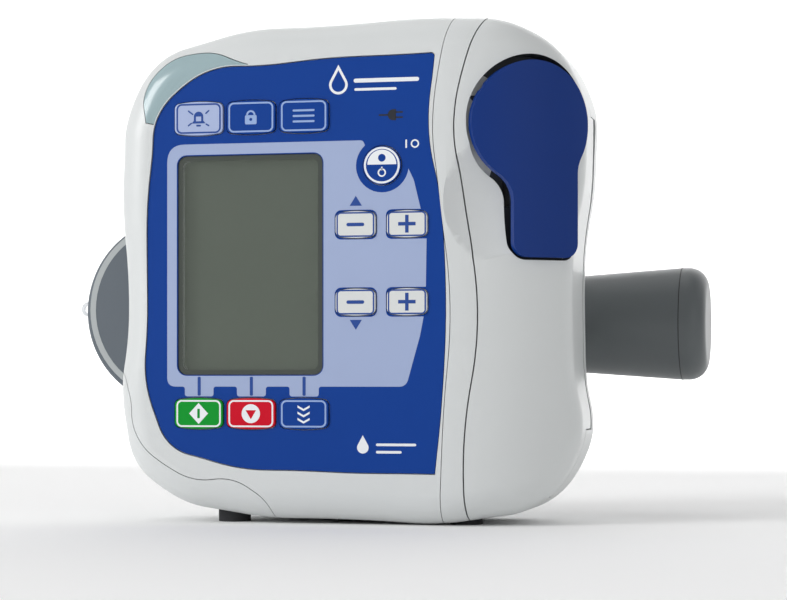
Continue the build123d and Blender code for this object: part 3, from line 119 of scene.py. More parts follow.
@dataclass(frozen=True)
class Finish:
    """A procedural finish with colour drift, grain and uneven gloss."""

    name: str
    colour: tuple[float, float, float, float]
    roughness: float = 0.4
    grain: Grain = Grain.SATIN
    grain_size: float = 0.35
    grain_depth: float = 0.02
    drift: float = 0.04
    metallic: float = 0.0
    alpha: float = 1.0
    coat: float = 0.0
    specular: float = 0.5

    def build(self) -> bpy.types.Material:
        """Make the node material once and reuse it.

        Returns:
            The finished material.
        """
        found = bpy.data.materials.get(self.name)
        if found:
            return found
        material = bpy.data.materials.new(self.name)
        material.use_nodes = True
        tree = material.node_tree
        nodes, links = tree.nodes, tree.links
        shader = nodes["Principled BSDF"]
        settings = {
            "Roughness": self.roughness, "Metallic": self.metallic, "Alpha": self.alpha,
            "Coat Weight": self.coat, "Coat Roughness": COAT_ROUGHNESS,
            "Specular IOR Level": self.specular,
        }
        for socket, value in settings.items():
            shader.inputs[socket].default_value = value
        place = nodes.new("ShaderNodeTexCoord")
        cloud = nodes.new("ShaderNodeTexNoise")
        cloud.inputs["Scale"].default_value = DRIFT_SCALE
        cloud.inputs["Detail"].default_value = DRIFT_DETAIL
        links.new(place.outputs["Object"], cloud.inputs["Vector"])
        shade = nodes.new("ShaderNodeMix")
        shade.data_type = "RGBA"
        channels = self.colour[:3]
        shade.inputs["A"].default_value = (*(value * (1 - self.drift) for value in channels), 1)
        shade.inputs["B"].default_value = (*(value * (1 + self.drift) for value in channels), 1)
        links.new(cloud.outputs["Fac"], shade.inputs["Factor"])
        links.new(shade.outputs["Result"], shader.inputs["Base Color"])
        gloss = nodes.new("ShaderNodeMapRange")
        gloss.inputs["To Min"].default_value = self.roughness - GLOSS_SPREAD
        gloss.inputs["To Max"].default_value = self.roughness + GLOSS_SPREAD
        links.new(cloud.outputs["Fac"], gloss.inputs["Value"])
        links.new(gloss.outputs["Result"], shader.inputs["Roughness"])
        self.add_grain(tree, place, shader)
        return material

    def add_grain(
        self, tree: bpy.types.NodeTree, place: bpy.types.Node, shader: bpy.types.Node
    ) -> None:
        """Add the fine surface relief of the finish.

        Args:
            tree: Node tree of the material.
            place: Texture coordinate node.
            shader: Surface shader.
        """
        nodes, links = tree.nodes, tree.links
        if self.grain is Grain.CELL:
            relief = nodes.new("ShaderNodeTexVoronoi")
            height = relief.outputs["Distance"]
        else:
            relief = nodes.new("ShaderNodeTexNoise")
            detail = SPARK_DETAIL if self.grain is Grain.SPARK else PLAIN_DETAIL
            relief.inputs["Detail"].default_value = detail
            height = relief.outputs["Fac"]
        relief.inputs["Scale"].default_value = 1 / (self.grain_size * MM)
        stretch = nodes.new("ShaderNodeMapping")
        along = BRUSH_STRETCH if self.grain is Grain.BRUSHED else 1.0
        stretch.inputs["Scale"].default_value = (along, 1, 1)
        links.new(place.outputs["Object"], stretch.inputs["Vector"])
        links.new(stretch.outputs["Vector"], relief.inputs["Vector"])
        bump = nodes.new("ShaderNodeBump")
        bump.inputs["Strength"].default_value = GLOSS_BUMP if self.grain is Grain.GLOSS else GRAIN_BUMP
        bump.inputs["Distance"].default_value = self.grain_depth * MM
        links.new(height, bump.inputs["Height"])
        links.new(bump.outputs["Normal"], shader.inputs["Normal"])


HOUSING = Finish("housing_finish", srgb(217, 220, 220), 0.38, Grain.SATIN, 0.4, 0.012, 0.012, coat=0.1)
HOLDER = Finish("holder_finish", srgb(222, 224, 223), 0.42, Grain.SPARK, 0.45, 0.02, 0.02)
INNER = Finish("inner_finish", srgb(168, 172, 176), 0.5, Grain.SPARK, 0.5, 0.02, 0.03)
PANEL = Finish("panel_print", srgb(0, 60, 146), 0.5, Grain.SPARK, 0.22, 0.01, 0.03, specular=0.2)
LAVENDER = Finish("lavender_print", srgb(162, 177, 212), 0.5, Grain.SPARK, 0.22, 0.01, 0.02)
KEY_LAVENDER = Finish("lavender_key", srgb(172, 186, 222), 0.4, Grain.SPARK, 0.22, 0.01, 0.02, coat=0.1)
GREEN = Finish("start_green", srgb(0, 150, 44), 0.45, Grain.SPARK, 0.22, 0.01, 0.03, specular=0.2)
RED = Finish("stop_red", srgb(208, 0, 36), 0.45, Grain.SPARK, 0.22, 0.01, 0.03, specular=0.2)
LIGHT_KEY = Finish("light_key", srgb(222, 225, 224), 0.4, Grain.SPARK, 0.25, 0.01, 0.015, coat=0.1)
WHITE_INK = Finish("white_ink", srgb(240, 243, 246), 0.5, Grain.SATIN, 0.3, 0.006, 0.01)
PALE_INK = Finish("pale_blue_ink", srgb(150, 176, 222), 0.5, Grain.SATIN, 0.3, 0.006, 0.02)
BLUE_INK = Finish("blue_ink", srgb(14, 66, 148), 0.5, Grain.SATIN, 0.3, 0.006, 0.02)
BLACK_INK = Finish("black_ink", srgb(20, 24, 34), 0.5, Grain.SATIN, 0.3, 0.006, 0.03)
LENS = Finish(
    "lens_finish", srgb(170, 194, 199), 0.2, Grain.GLOSS, 1.2, 0.02, 0.02, alpha=0.82, coat=0.5)
LEVER = Finish("lever_finish", srgb(0, 48, 124), 0.4, Grain.GLOSS, 0.5, 0.01, 0.03, specular=0.28)
RELEASE = Finish("release_finish", srgb(94, 102, 110), 0.5, Grain.SPARK, 0.4, 0.025, 0.03)
KNOB = Finish("knob_finish", srgb(88, 93, 95), 0.38, Grain.SPARK, 0.45, 0.03, 0.03)
CLAMP = Finish("clamp_finish", srgb(120, 123, 127), 0.45, Grain.SPARK, 0.5, 0.04, 0.04, metallic=0.7)
GLASS = Finish(
    "window_finish", srgb(110, 118, 108), 0.16, Grain.GLOSS, 6.0, 0.002, 0.01, alpha=0.3, coat=0.3)
STEEL = Finish("steel_finish", srgb(178, 180, 183), 0.3, Grain.BRUSHED, 0.3, 0.01, 0.04, metallic=1.0)
BRASS = Finish("brass_finish", srgb(196, 164, 96), 0.32, Grain.BRUSHED, 0.3, 0.01, 0.04, metallic=1.0)
RUBBER = Finish("rubber_finish", srgb(42, 43, 46), 0.8, Grain.SPARK, 0.3, 0.03, 0.06)
DARK = Finish("dark_finish", srgb(34, 35, 38), 0.55, Grain.SPARK, 0.4, 0.02, 0.05)
ACETAL = Finish("acetal_finish", srgb(232, 231, 224), 0.38, Grain.SATIN, 0.5, 0.01, 0.02)
BOARD = Finish("board_finish", srgb(24, 96, 58), 0.4, Grain.CELL, 1.8, 0.03, 0.08, coat=0.3)
WRAP = Finish("battery_finish", srgb(36, 44, 78), 0.35, Grain.SATIN, 1.5, 0.02, 0.05)
DISPLAY = Finish("display_finish", srgb(112, 121, 110), 0.35, Grain.SATIN, 6.0, 0.0005, 0.02, coat=0.1)
# Painted shade: darker ring along the display window's edge, standing in for the shadow of its recess.
DISPLAY_EDGE_SHADE = Finish("display_surround", srgb(66, 72, 66), 0.35, Grain.GLOSS, 3.0, 0.002, 0.04)
# Painted highlight: pale band where the release lever's rounded outer edge catches the light.
RELEASE_HIGHLIGHT = Finish("release_rim", srgb(176, 181, 182), 0.42, Grain.SPARK, 0.4, 0.015, 0.02)
# Painted shade: dark colour for the lever pocket's walls and floor, where shade falls in the recess.
SHADE = Finish("pocket_finish", srgb(58, 62, 68), 0.6, Grain.SPARK, 0.4, 0.02, 0.04)
LOOP = Finish(
    "loop_finish", srgb(226, 230, 234), 0.15, Grain.GLOSS, 0.8, 0.01, 0.02, alpha=0.6, coat=0.4)
FLOOR = Finish("floor_finish", (0.97, 0.97, 0.97, 1), 0.9, Grain.SATIN, 4.0, 0.01, 0.004)


def corners(node: str) -> tuple[Vector, Vector]:
    """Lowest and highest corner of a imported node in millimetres."""
    low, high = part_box(node)
    return low / MM, high / MM


def stand(name: str, data: bpy.types.ID) -> bpy.types.Object:
    """Link a new object.

    Args:
        name: Name of the object.
        data: Mesh, light or camera that it shows.

    Returns:
        The object, at the origin.
    """
    piece = bpy.data.objects.new(name, data)
    bpy.context.scene.collection.objects.link(piece)
    return piece


def settle(piece: bpy.types.Object, body: str, slot: str, *nodes: str) -> bpy.types.Object:
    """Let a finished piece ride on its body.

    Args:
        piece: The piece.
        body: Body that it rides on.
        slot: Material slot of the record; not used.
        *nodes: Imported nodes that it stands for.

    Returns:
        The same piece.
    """
    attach(piece, body)
    if nodes:
        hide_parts(*nodes)
    LOG.info("%s settled", piece.name)
    return piece


@dataclass
class Model:
    """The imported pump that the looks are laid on."""

    nodes: dict[str, bpy.types.Object]
    slots: dict[str, str]

    def body(self, node: str) -> str:
        """Name of the moving body that a node belongs to."""
        return str(self.nodes[node]["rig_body"])

    def seat(self, node: str) -> tuple[str, str]:
        """Body and material slot of a node, for a piece laid on it."""
        return self.body(node), self.slots[node]

    def wear(self, node: str, finish: Finish, sharp: float = 32.0) -> bpy.types.Object:
        """Show a node as a merged, smoothly shaded copy in its finish.

        Args:
            node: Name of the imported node.
            finish: Finish that it wears.
            sharp: Angle in degrees above which an edge stays sharp.

        Returns:
            The finished piece.
        """
        mesh = self.nodes[node].data.copy()
        if "custom_normal" in mesh.attributes:
            mesh.attributes.remove(mesh.attributes["custom_normal"])
        work = bmesh.new()
        work.from_mesh(mesh)
        bmesh.ops.remove_doubles(work, verts=work.verts, dist=WELD * MM)
        work.to_mesh(mesh)
        work.free()
        mesh.materials.clear()
        mesh.materials.append(finish.build())
        mesh.shade_smooth()
        mesh.set_sharp_from_angle(angle=math.radians(sharp))
        piece = stand(f"{node}_finished", mesh)
        weigh = piece.modifiers.new("face_weights", "WEIGHTED_NORMAL")
        weigh.keep_sharp = True
        flatten(piece)
        return settle(piece, *self.seat(node), node)


@dataclass
class Assembly:
    """A sub-assembly of the pump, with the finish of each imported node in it."""

    model: Model
    worn: ClassVar[dict[str, Finish]] = {}

    def build(self) -> None:
        """Show each node in its finish."""
        for node, finish in self.worn.items():
            self.model.wear(node, finish)


def flatten(piece: bpy.types.Object) -> None:
    """Turn a piece with modifiers into a plain mesh.

    Args:
        piece: Object whose modifiers are applied and removed.
    """
    bpy.context.view_layer.update()
    evaluated = piece.evaluated_get(bpy.context.evaluated_depsgraph_get())
    result = bpy.data.meshes.new_from_object(evaluated)
    piece.modifiers.clear()
    piece.data = result


def round_box(
    x: float, z: float, width: float, height: float, corner: float, steps: int = 6
) -> list[Point]:
    """Outline of a box with round corners.

    Args:
        x: Middle across.
        z: Middle above the base.
        width: Width in millimetres.
        height: Height in millimetres.
        corner: Corner radius.
        steps: Segments in each corner.

    Returns:
        The points, anticlockwise.
    """
    points = []
    for quarter, (side, rise) in enumerate(((1, 1), (-1, 1), (-1, -1), (1, -1))):
        centre_x = x + side * (width / 2 - corner)
        centre_z = z + rise * (height / 2 - corner)
        points += arc(centre_x, centre_z, corner, 90 * quarter, 90 * quarter + 90, steps)
    return points


def arc(x: float, z: float, radius: float, start: float, end: float, steps: int = 12) -> list[Point]:
    """Points on an arc.

    Args:
        x: Centre across.
        z: Centre above the base.
        radius: Radius in millimetres.
        start: First angle in degrees.
        end: Last angle in degrees.
        steps: Segments along it.

    Returns:
        The points in order.
    """
    turns = (math.radians(start + (end - start) * step / steps) for step in range(steps + 1))
    return [(x + radius * math.cos(turn), z + radius * math.sin(turn)) for turn in turns]


def disc(x: float, z: float, radius: float) -> list[Point]:
    """Outline of a disc."""
    return arc(x, z, radius, 0, 360, 48)[:-1]


def band(x: float, z: float, radius: float, width: float, start: float, end: float) -> list[Point]:
    """Outline of a curved line of some width, such as a shackle.

    Args:
        x: Centre across.
        z: Centre above the base.
        radius: Radius of the line's middle.
        width: Width of the line.
        start: First angle in degrees.
        end: Last angle in degrees.

    Returns:
        The closed outline.
    """
    outer = arc(x, z, radius + width / 2, start, end, 20)
    inner = arc(x, z, radius - width / 2, end, start, 20)
    return outer + inner


def bar(start: Point, end: Point, width: float) -> list[Point]:
    """Outline of a straight line with round ends.

    Args:
        start: Middle of the first end.
        end: Middle of the last end.
        width: Width of the line.

    Returns:
        The closed outline.
    """
    heading = math.degrees(math.atan2(end[1] - start[1], end[0] - start[0]))
    first = arc(*end, width / 2, heading - 90, heading + 90, 8)
    return first + arc(*start, width / 2, heading + 90, heading + 270, 8)


def softened(turns: Sequence[Corner], steps: int = 8) -> list[Point]:
    """Round each corner of an outline by its own radius.

    Args:
        turns: Corners as across, up and radius.
        steps: Segments in each rounded corner.

    Returns:
        The rounded outline.
    """
    points: list[Point] = []
    count, longest = len(turns), 0.48
    for place, (x, z, radius) in enumerate(turns):
        if not radius:
            points.append((x, z))
            continue
        here = Vector((x, z))
        back = Vector(turns[place - 1][:2]) - here
        ahead = Vector(turns[(place + 1) % count][:2]) - here
        turn = back.angle(ahead)
        reach = min(radius / math.tan(turn / 2), back.length * longest, ahead.length * longest)
        first, last = here + back.normalized() * reach, here + ahead.normalized() * reach
        for step in range(steps + 1):
            share = step / steps
            spot = first * (1 - share) ** 2 + here * 2 * share * (1 - share) + last * share**2
            points.append((spot.x, spot.y))
    return points


@dataclass
class Print:
    """Ink of one colour laid on a flat face that looks to the front; the same sheets also carry the
    painted shade around the display window and the painted highlight on the release lever.
    """

    name: str
    finish: Finish
    face_y: float
    body: str
    slot: str
    thick: float = 0.03
    sunk: float = 0.15
    shapes: list[Shape] = field(default_factory=list)

    def add(self, outline: list[Point], *holes: list[Point]) -> "Print":
        """Add one filled shape.

        Args:
            outline: Outer edge.
            *holes: Edges of the openings in it.

        Returns:
            This print, so that calls can follow each other.
        """
        self.shapes.append([outline, *holes])
        return self

    def build(self) -> bpy.types.Object:
        """Build the ink as thin closed plates.

        Returns:
            The printed piece.
        """
        work = bmesh.new()
        front_y = self.face_y - self.thick
        back_y = self.face_y - self.thick * self.sunk
        for loops in self.shapes:
            flat = [[Vector((x, z, 0)) for x, z in loop] for loop in loops]
            spots = [spot for loop in flat for spot in loop]
            front, back = (
                [work.verts.new((spot.x * MM, y * MM, spot.y * MM)) for spot in spots]
                for y in (front_y, back_y)
            )
            for triangle in tessellate_polygon(flat):
                for layer in (front, back):
                    work.faces.new([layer[corner] for corner in triangle])
            offset = 0
            for loop in flat:
                size = len(loop)
                for place in range(size):
                    here, after = offset + place, offset + (place + 1) % size
                    work.faces.new((front[here], front[after], back[after], back[here]))
                offset += size
        bmesh.ops.recalc_face_normals(work, faces=work.faces)
        mesh = bpy.data.meshes.new(self.name)
        work.to_mesh(mesh)
        work.free()
        mesh.materials.append(self.finish.build())
        return settle(stand(self.name, mesh), self.body, self.slot)


class Sign(Enum):
    """What a key shows."""

    BELL_OFF = "bell_off"
    PADLOCK = "padlock"
    LIST = "list"
    RUN = "run"
    HALT = "halt"
    FILL = "fill"
    MINUS = "minus"
    PLUS = "plus"


@dataclass
class KeyArt:
    """Outline and pictogram of one key."""

    node: str
    sign: Sign
    rim: Finish
    ink: Finish
    rim_width: float = 0.45
    rim_inset: float = 0.55
    corner: float = 1.5
    corner_step: float = 0.4

    def build(self, model: Model) -> None:
        """Print the key's rim and its pictogram.

        Args:
            model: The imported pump.
        """
        low, high = corners(self.node)
        x, z = (low.x + high.x) / 2, (low.z + high.z) / 2
        width, height = high.x - low.x, high.z - low.z
        rim = Print(f"{self.node}_rim", self.rim, low.y, *model.seat(self.node))
        inset = self.rim_inset
        outer = round_box(x, z, width - 2 * inset, height - 2 * inset, self.corner)
        inset += self.rim_width
        inner_corner = self.corner - self.corner_step
        rim.add(outer, round_box(x, z, width - 2 * inset, height - 2 * inset, inner_corner))
        rim.build()
        art = Print(f"{self.node}_sign", self.ink, low.y, *model.seat(self.node))
        for loops in self.loops(x, z):
            art.add(*loops)
        art.build()

    def loops(self, x: float, z: float) -> list[Shape]:
        """Shapes of the pictogram.

        Args:
            x: Middle of the key across.
            z: Middle of the key above the base.

        Returns:
            Filled shapes, each with its openings.
        """
        if self.sign is Sign.MINUS:
            half, stroke = 2, 0.95
            return [[bar((x - half, z), (x + half, z), stroke)]]
        if self.sign is Sign.PLUS:
            arm, half = 2.4, 0.48
            cross = [(-half, -arm), (half, -arm), (half, -half), (arm, -half), (arm, half), (half, half)]
            cross += [(-a, -b) for a, b in cross]
            return [[[(x + a, z + b) for a, b in cross]]]
        if self.sign is Sign.LIST:
            half, stroke, spacing = 2.8, 0.55, 1.5
            rises = (-spacing, 0, spacing)
            return [[bar((x - half, z + rise), (x + half, z + rise), stroke)] for rise in rises]
        if self.sign is Sign.PADLOCK:
            hasp_rise, hasp_radius, hasp_width = 0.6, 1.05, 0.5
            case_drop, case_width, case_height, case_corner = 0.7, 3.3, 2.5, 0.35
            keyhole_drop, keyhole_radius = 0.6, 0.42
            case = round_box(x, z - case_drop, case_width, case_height, case_corner)
            hasp = band(x, z + hasp_rise, hasp_radius, hasp_width, 0, 180)
            return [[case, disc(x, z - keyhole_drop, keyhole_radius)], [hasp]]
        if self.sign is Sign.FILL:
            spacing = 1.7
            return [[self.chevron(x, z + rise)] for rise in (spacing, 0, -spacing)]
        if self.sign is Sign.RUN:
            across, tall = 2.7, 2.9
            slot_width, slot_height, slot_corner = 0.75, 2.6, 0.2
            diamond = [(x, z + tall), (x - across, z), (x, z - tall), (x + across, z)]
            return [[diamond, round_box(x, z, slot_width, slot_height, slot_corner)]]
        if self.sign is Sign.HALT:
            half, top, deep, disc_radius = 1.5, z + 0.95, 2.5, 2.6
            return [[disc(x, z, disc_radius), [(x - half, top), (x, top - deep), (x + half, top)]]]
        return self.bell(x, z)

    def chevron(self, x: float, z: float) -> list[Point]:
        """Outline of one downward chevron.

        Args:
            x: Middle across.
            z: Middle above the base.

        Returns:
            The outline.
        """
        half, drop, thick = 1.7, 0.95, 0.6
        top = z + thick
        return [
            (x - half, top), (x, top - drop), (x + half, top), (x + half, top - thick),
            (x, top - drop - thick), (x - half, top - thick),
        ]

    def bell(self, x: float, z: float) -> list[Shape]:
        """Shapes of the silenced bell.

        Args:
            x: Middle of the key across.
            z: Middle of the key above the base.

        Returns:
            The bell with its opening, its clapper and four short strokes.
        """
        dome, brim, inner, stroke = 1.35, 2.0, 0.75, 0.4
        clapper_drop, clapper_width, clapper_height, clapper_corner = 1.95, 1.3, 0.5, 0.2
        shoulder, foot, crown = z - 0.6, z - 1.35, z + 0.55
        outline = [(x - brim, foot), (x - dome, shoulder), *arc(x, crown, dome, 180, 0, 12)]
        outline += [(x + dome, shoulder), (x + brim, foot)]
        middle = [(x - inner, z - inner), (x - inner, crown), (x + inner, crown), (x + inner, z - inner)]
        clapper = round_box(x, z - clapper_drop, clapper_width, clapper_height, clapper_corner)
        strokes = (
            ((-2.9, -1.9), (-2.1, -1.3)), ((2.1, 1.4), (2.9, 2.1)),
            ((-2.9, 2.1), (-1.7, 1.2)), ((2.2, -1.6), (2.9, -2.0)),
        )
        slashes = [[bar((x + a, z + b), (x + c, z + d), stroke)] for (a, b), (c, d) in strokes]
        return [[outline, middle], [clapper], *slashes]


@dataclass
class ControlPanel(Assembly):
    """Blue key sheet with its lavender field, window, keys and printed signs."""

    worn: ClassVar[dict[str, Finish]] = {
        "keypad_panel": PANEL, "display_window": GLASS, "key_fill": PANEL, "key_lock": PANEL,
        "key_menu": PANEL, "key_minus_lower": LIGHT_KEY, "key_minus_upper": LIGHT_KEY,
        "key_mute": KEY_LAVENDER, "key_plus_lower": LIGHT_KEY, "key_plus_upper": LIGHT_KEY,
        "key_power": PANEL, "key_start": GREEN, "key_stop": RED,
    }
    field_left: float = -49.2
    field_top: float = 104.4
    field_low: float = 37.7
    tab_low: float = 35.0
    tab_width: float = 8.2
    bite: float = 7.3
    bite_reach: float = 5.4
    bite_start: float = 22
    bite_end: float = 352
    foot_corner: float = 3.2
    top_corner: float = 5.0
    bite_corner: float = 2.2
    tab_corner: float = 0.8
    notch_corner: float = 1.8
    shoulder: Corner = (20.3, 93.4, 4)
    upper_notch: Point = (22.2, 23.8)
    lower_notch: Point = (23.6, 23.0)
    low_edge: tuple[Corner, ...] = ((22, 51.4, 8), (19.9, 43.9, 8))
    low_right: Point = (18.2, 2.6)
    hole_gap: float = 0.35
    hole_corner: float = 1.5
    window_corner: float = 2.5
    inner_window_corner: float = 1.8
    surround: float = 1.3
    surround_thick: float = 0.02
    lower_keys: tuple[str, ...] = ("key_fill", "key_stop", "key_start")

    def build(self) -> None:
        """Dress the panel and everything on it."""
        super().build()
        self.print_field()
        self.print_leads()
        self.print_plug()
        self.print_panel_signs()
        self.dress_display()
        self.print_power_key()
        for art in self.key_art():
            art.build(self.model)

    def face(self) -> float:
        """Front face of the key sheet in millimetres."""
        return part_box("keypad_panel")[0].y / MM

    def key_art(self) -> list[KeyArt]:
        """Art of the ten oblong keys.

        Returns:
            The art, with thinner rims on the four light keys.
        """
        printed = (
            ("key_mute", Sign.BELL_OFF, BLUE_INK, BLUE_INK),
            ("key_lock", Sign.PADLOCK, PALE_INK, PALE_INK),
            ("key_menu", Sign.LIST, PALE_INK, PALE_INK),
            ("key_start", Sign.RUN, WHITE_INK, WHITE_INK),
            ("key_stop", Sign.HALT, WHITE_INK, WHITE_INK),
            ("key_fill", Sign.FILL, PALE_INK, WHITE_INK),
        )
        light = (
            ("key_minus_upper", Sign.MINUS), ("key_plus_upper", Sign.PLUS),
            ("key_minus_lower", Sign.MINUS), ("key_plus_lower", Sign.PLUS),
        )
        thin = {"rim_width": 0.4, "rim_inset": 0.3, "corner": 1.2}
        return [
            *(KeyArt(*row) for row in printed),
            *(KeyArt(node, sign, BLUE_INK, BLUE_INK, **thin) for node, sign in light),
        ]

    def key_centre(self, node: str) -> Point:
        """Middle of a key across and above the base."""
        low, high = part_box(node)
        return (low.x + high.x) / 2 / MM, (low.z + high.z) / 2 / MM

    def hole(self, node: str, corner: float) -> list[Point]:
        """Edge of the opening left around a node.

        Args:
            node: Node that shows through the opening.
            corner: Corner radius of the node.

        Returns:
            The outline.
        """
        low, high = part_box(node)
        x, z = self.key_centre(node)
        gap = 2 * self.hole_gap
        width, height = (high.x - low.x) / MM + gap, (high.z - low.z) / MM + gap
        return round_box(x, z, width, height, corner + self.hole_gap)

    def print_field(self) -> None:
        """Lavender field with the bite around the power key and its three tabs."""
        power_x, power_z = self.key_centre("key_power")
        start = 180 - math.degrees(math.asin((self.field_top - power_z) / self.bite))
        outline: list[Corner] = [
            (self.field_left, self.field_low, self.foot_corner),
            (self.field_left, self.field_top, self.top_corner),
            (power_x - self.bite_reach, self.field_top, self.bite_corner),
        ]
        bitten = arc(power_x, power_z, self.bite, start + self.bite_start, self.bite_end, 24)
        outline += [(x, z, 0) for x, z in bitten]
        outline += [self.shoulder, *self.notch("key_plus_upper", *self.upper_notch)]
        outline += [*self.notch("key_plus_lower", *self.lower_notch), *self.low_edge]
        right, corner = self.low_right
        outline += [(right, self.field_low, corner), *self.tabs()]
        field_print = Print("lavender_field", LAVENDER, self.face(), "pump", "panel_blue")
        holes = [self.hole(node, self.hole_corner) for node in ("key_minus_upper", "key_minus_lower")]
        field_print.add(softened(outline), self.hole("display_window", self.window_corner), *holes)
        field_print.build()

    def notch(self, node: str, top_edge: float, low_edge: float) -> list[Corner]:
        """Corners of the cut that lets a key reach past the field's right edge.

        Args:
            node: Key that crosses the edge.
            top_edge: Where the field's edge meets the cut's top.
            low_edge: Where it meets the cut's foot.

        Returns:
            The corners from the top down.
        """
        low, high = corners(node)
        top, foot, left = high.z + self.hole_gap, low.z - self.hole_gap, low.x - self.hole_gap
        corner = self.notch_corner
        return [(top_edge, top, 0), (left, top, corner), (left, foot, corner), (low_edge, foot, 0)]

    def tabs(self) -> list[Corner]:
        """Corners of the tabs that lead to the lower keys.

        Returns:
            The corners, from the right tab to the left one.
        """
        turns: list[Corner] = []
        half, corner = self.tab_width / 2, self.tab_corner
        for node in self.lower_keys:
            x, _ = self.key_centre(node)
            turns += [(x + half, self.field_low, corner), (x + half, self.tab_low, corner)]
            turns += [(x - half, self.tab_low, corner), (x - half, self.field_low, corner)]
        return turns

    def print_leads(self) -> None:
        """Lines that lead to the lower keys, and the two arrows by the minus keys."""
        line_z, line_width, line_length, line_corner = 37.8, 0.9, 5.2, 0.3
        half, up_base, up_tip, down_base, down_tip = 1.7, 86.7, 89.4, 55.8, 53.1
        on_field = self.face() - Print.thick
        leads = Print("key_leads", BLUE_INK, on_field, "pump", "panel_blue")
        for node in self.lower_keys:
            x, _ = self.key_centre(node)
            leads.add(round_box(x, line_z, line_width, line_length, line_corner))
        x, _ = self.key_centre("key_minus_upper")
        leads.add([(x - half, up_base), (x + half, up_base), (x, up_tip)])
        leads.add([(x - half, down_base), (x, down_tip), (x + half, down_base)])
        leads.build()

    def print_plug(self) -> None:
        """Plain plug that marks the mains light."""
        z, radius, middle, face = 111.1, 1.5, 14.6, 15.4
        prong, prong_tip, lead_end, lead_start, stroke = 0.7, 17.1, 10.8, 13.1, 0.45
        plug = Print("mains_sign", BLACK_INK, self.face(), "pump", "panel_blue")
        plug.add(arc(middle, z, radius, 90, 270, 12) + [(face, z - radius), (face, z + radius)])
        for prong_z in (z + prong, z - prong):
            plug.add(bar((face, prong_z), (prong_tip, prong_z), stroke))
        plug.add(bar((lead_end, z), (lead_start, z), stroke))
        plug.build()

    def print_panel_signs(self) -> None:
        """On and off marks, and the plain drops with their bars."""
        on_x, on_width, on_height, on_corner = 18.2, 0.45, 2.3, 0.2
        off_x, mark_z, ring_radius, ring_hole = 20.6, 103.2, 1.15, 0.75
        drop_x, drop_z, drop_radius, drop_hole = -0.6, 119.6, 2.6, 1.9
        small_drop = (6.2, 21.2, 1.6)
        upper_bars = ((4.2, 21.2, 120.6, 1.1), (4.2, 15.2, 118.2, 0.7))
        lower_bars = ((10.2, 20.6, 22.0, 0.7), (10.2, 16.6, 20.0, 0.7))
        white = Print("panel_signs", WHITE_INK, self.face(), "pump", "panel_blue")
        white.add(round_box(on_x, mark_z, on_width, on_height, on_corner))
        white.add(disc(off_x, mark_z, ring_radius), disc(off_x, mark_z, ring_hole))
        white.add(self.drop(drop_x, drop_z, drop_radius), self.drop(drop_x, drop_z, drop_hole))
        for left, right, z, width in upper_bars:
            white.add(bar((left, z), (right, z), width))
        white.add(self.drop(*small_drop))
        for left, right, z, width in lower_bars:
            white.add(bar((left, z), (right, z), width))
        white.build()

    def drop(self, x: float, z: float, radius: float) -> list[Point]:
        """Outline of a plain drop with its tip a little above its round end."""
        return arc(x, z, radius, 150, 390, 24) + [(x, z + 2.1 * radius)]

    def print_power_key(self) -> None:
        """Half-white face of the round key."""
        node = "key_power"
        low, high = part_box(node)
        x, z = self.key_centre(node)
        radius = (high.x - low.x) / 2 / MM
        rim_out, rim_in, face_inset, face_rise = 0.25, 0.8, 1.2, 0.2
        sign_rise, dot, ring_out, ring_in = 2.0, 1.05, 1.15, 0.75
        stem_drop, stem_width, stem_height, stem_corner = 0.9, 0.4, 1.0, 0.15
        white = Print("power_key_face", WHITE_INK, low.y / MM, *self.model.seat(node))
        white.add(disc(x, z, radius - rim_out), disc(x, z, radius - rim_in))
        upper = arc(x, z + face_rise, radius - face_inset, 0, 180, 30)
        white.add(upper, disc(x, z + sign_rise, dot))
        white.add(disc(x, z - sign_rise, ring_out), disc(x, z - sign_rise, ring_in))
        white.add(round_box(x, z - stem_drop, stem_width, stem_height, stem_corner))
        white.build()

    def dress_display(self) -> None:
        """Grey liquid-crystal sheet, with a darker ring of painted shade along the window's edge."""
        self.model.wear("display_module", DISPLAY)
        low, high = corners("display_window")
        x, z = (low.x + high.x) / 2, (low.z + high.z) / 2
        width, height = high.x - low.x, high.z - low.z
        edge = 2 * self.surround
        seat = self.model.seat("display_window")
        # Painted shade ring around the window's edge.
        ring = Print("display_surround", DISPLAY_EDGE_SHADE, low.y, *seat, self.surround_thick)
        inner = round_box(x, z, width - edge, height - edge, self.inner_window_corner)
        ring.add(round_box(x, z, width, height, self.window_corner), inner)
        ring.build()


def start_tree(name: str, sizes: Iterable[str]) -> tuple[bpy.types.NodeTree, bpy.types.Node]:
    """Start a node tree that has one named input for each size.

    Args:
        name: Name of the tree.
        sizes: Names of the inputs.

    Returns:
        The tree and the node that gives the sizes.
    """
    tree = bpy.data.node_groups.new(name, "GeometryNodeTree")
    for label in sizes:
        tree.interface.new_socket(label, in_out="INPUT", socket_type="NodeSocketFloat")
    tree.interface.new_socket("Geometry", in_out="OUTPUT", socket_type="NodeSocketGeometry")
    return tree, tree.nodes.new("NodeGroupInput")


def end_tree(tree: bpy.types.NodeTree, shape: bpy.types.NodeSocket, finish: Finish) -> None:
    """End a node tree with real copies in their finish.

    Args:
        tree: Tree to end.
        shape: Socket that gives the shape.
        finish: Finish that the shape wears.
    """
    whole = tree.nodes.new("GeometryNodeRealizeInstances")
    coat = tree.nodes.new("GeometryNodeSetMaterial")
    coat.inputs["Material"].default_value = finish.build()
    end = tree.nodes.new("NodeGroupOutput")
    tree.links.new(shape, whole.inputs["Geometry"])
    tree.links.new(whole.outputs["Geometry"], coat.inputs["Geometry"])
    tree.links.new(coat.outputs["Geometry"], end.inputs["Geometry"])


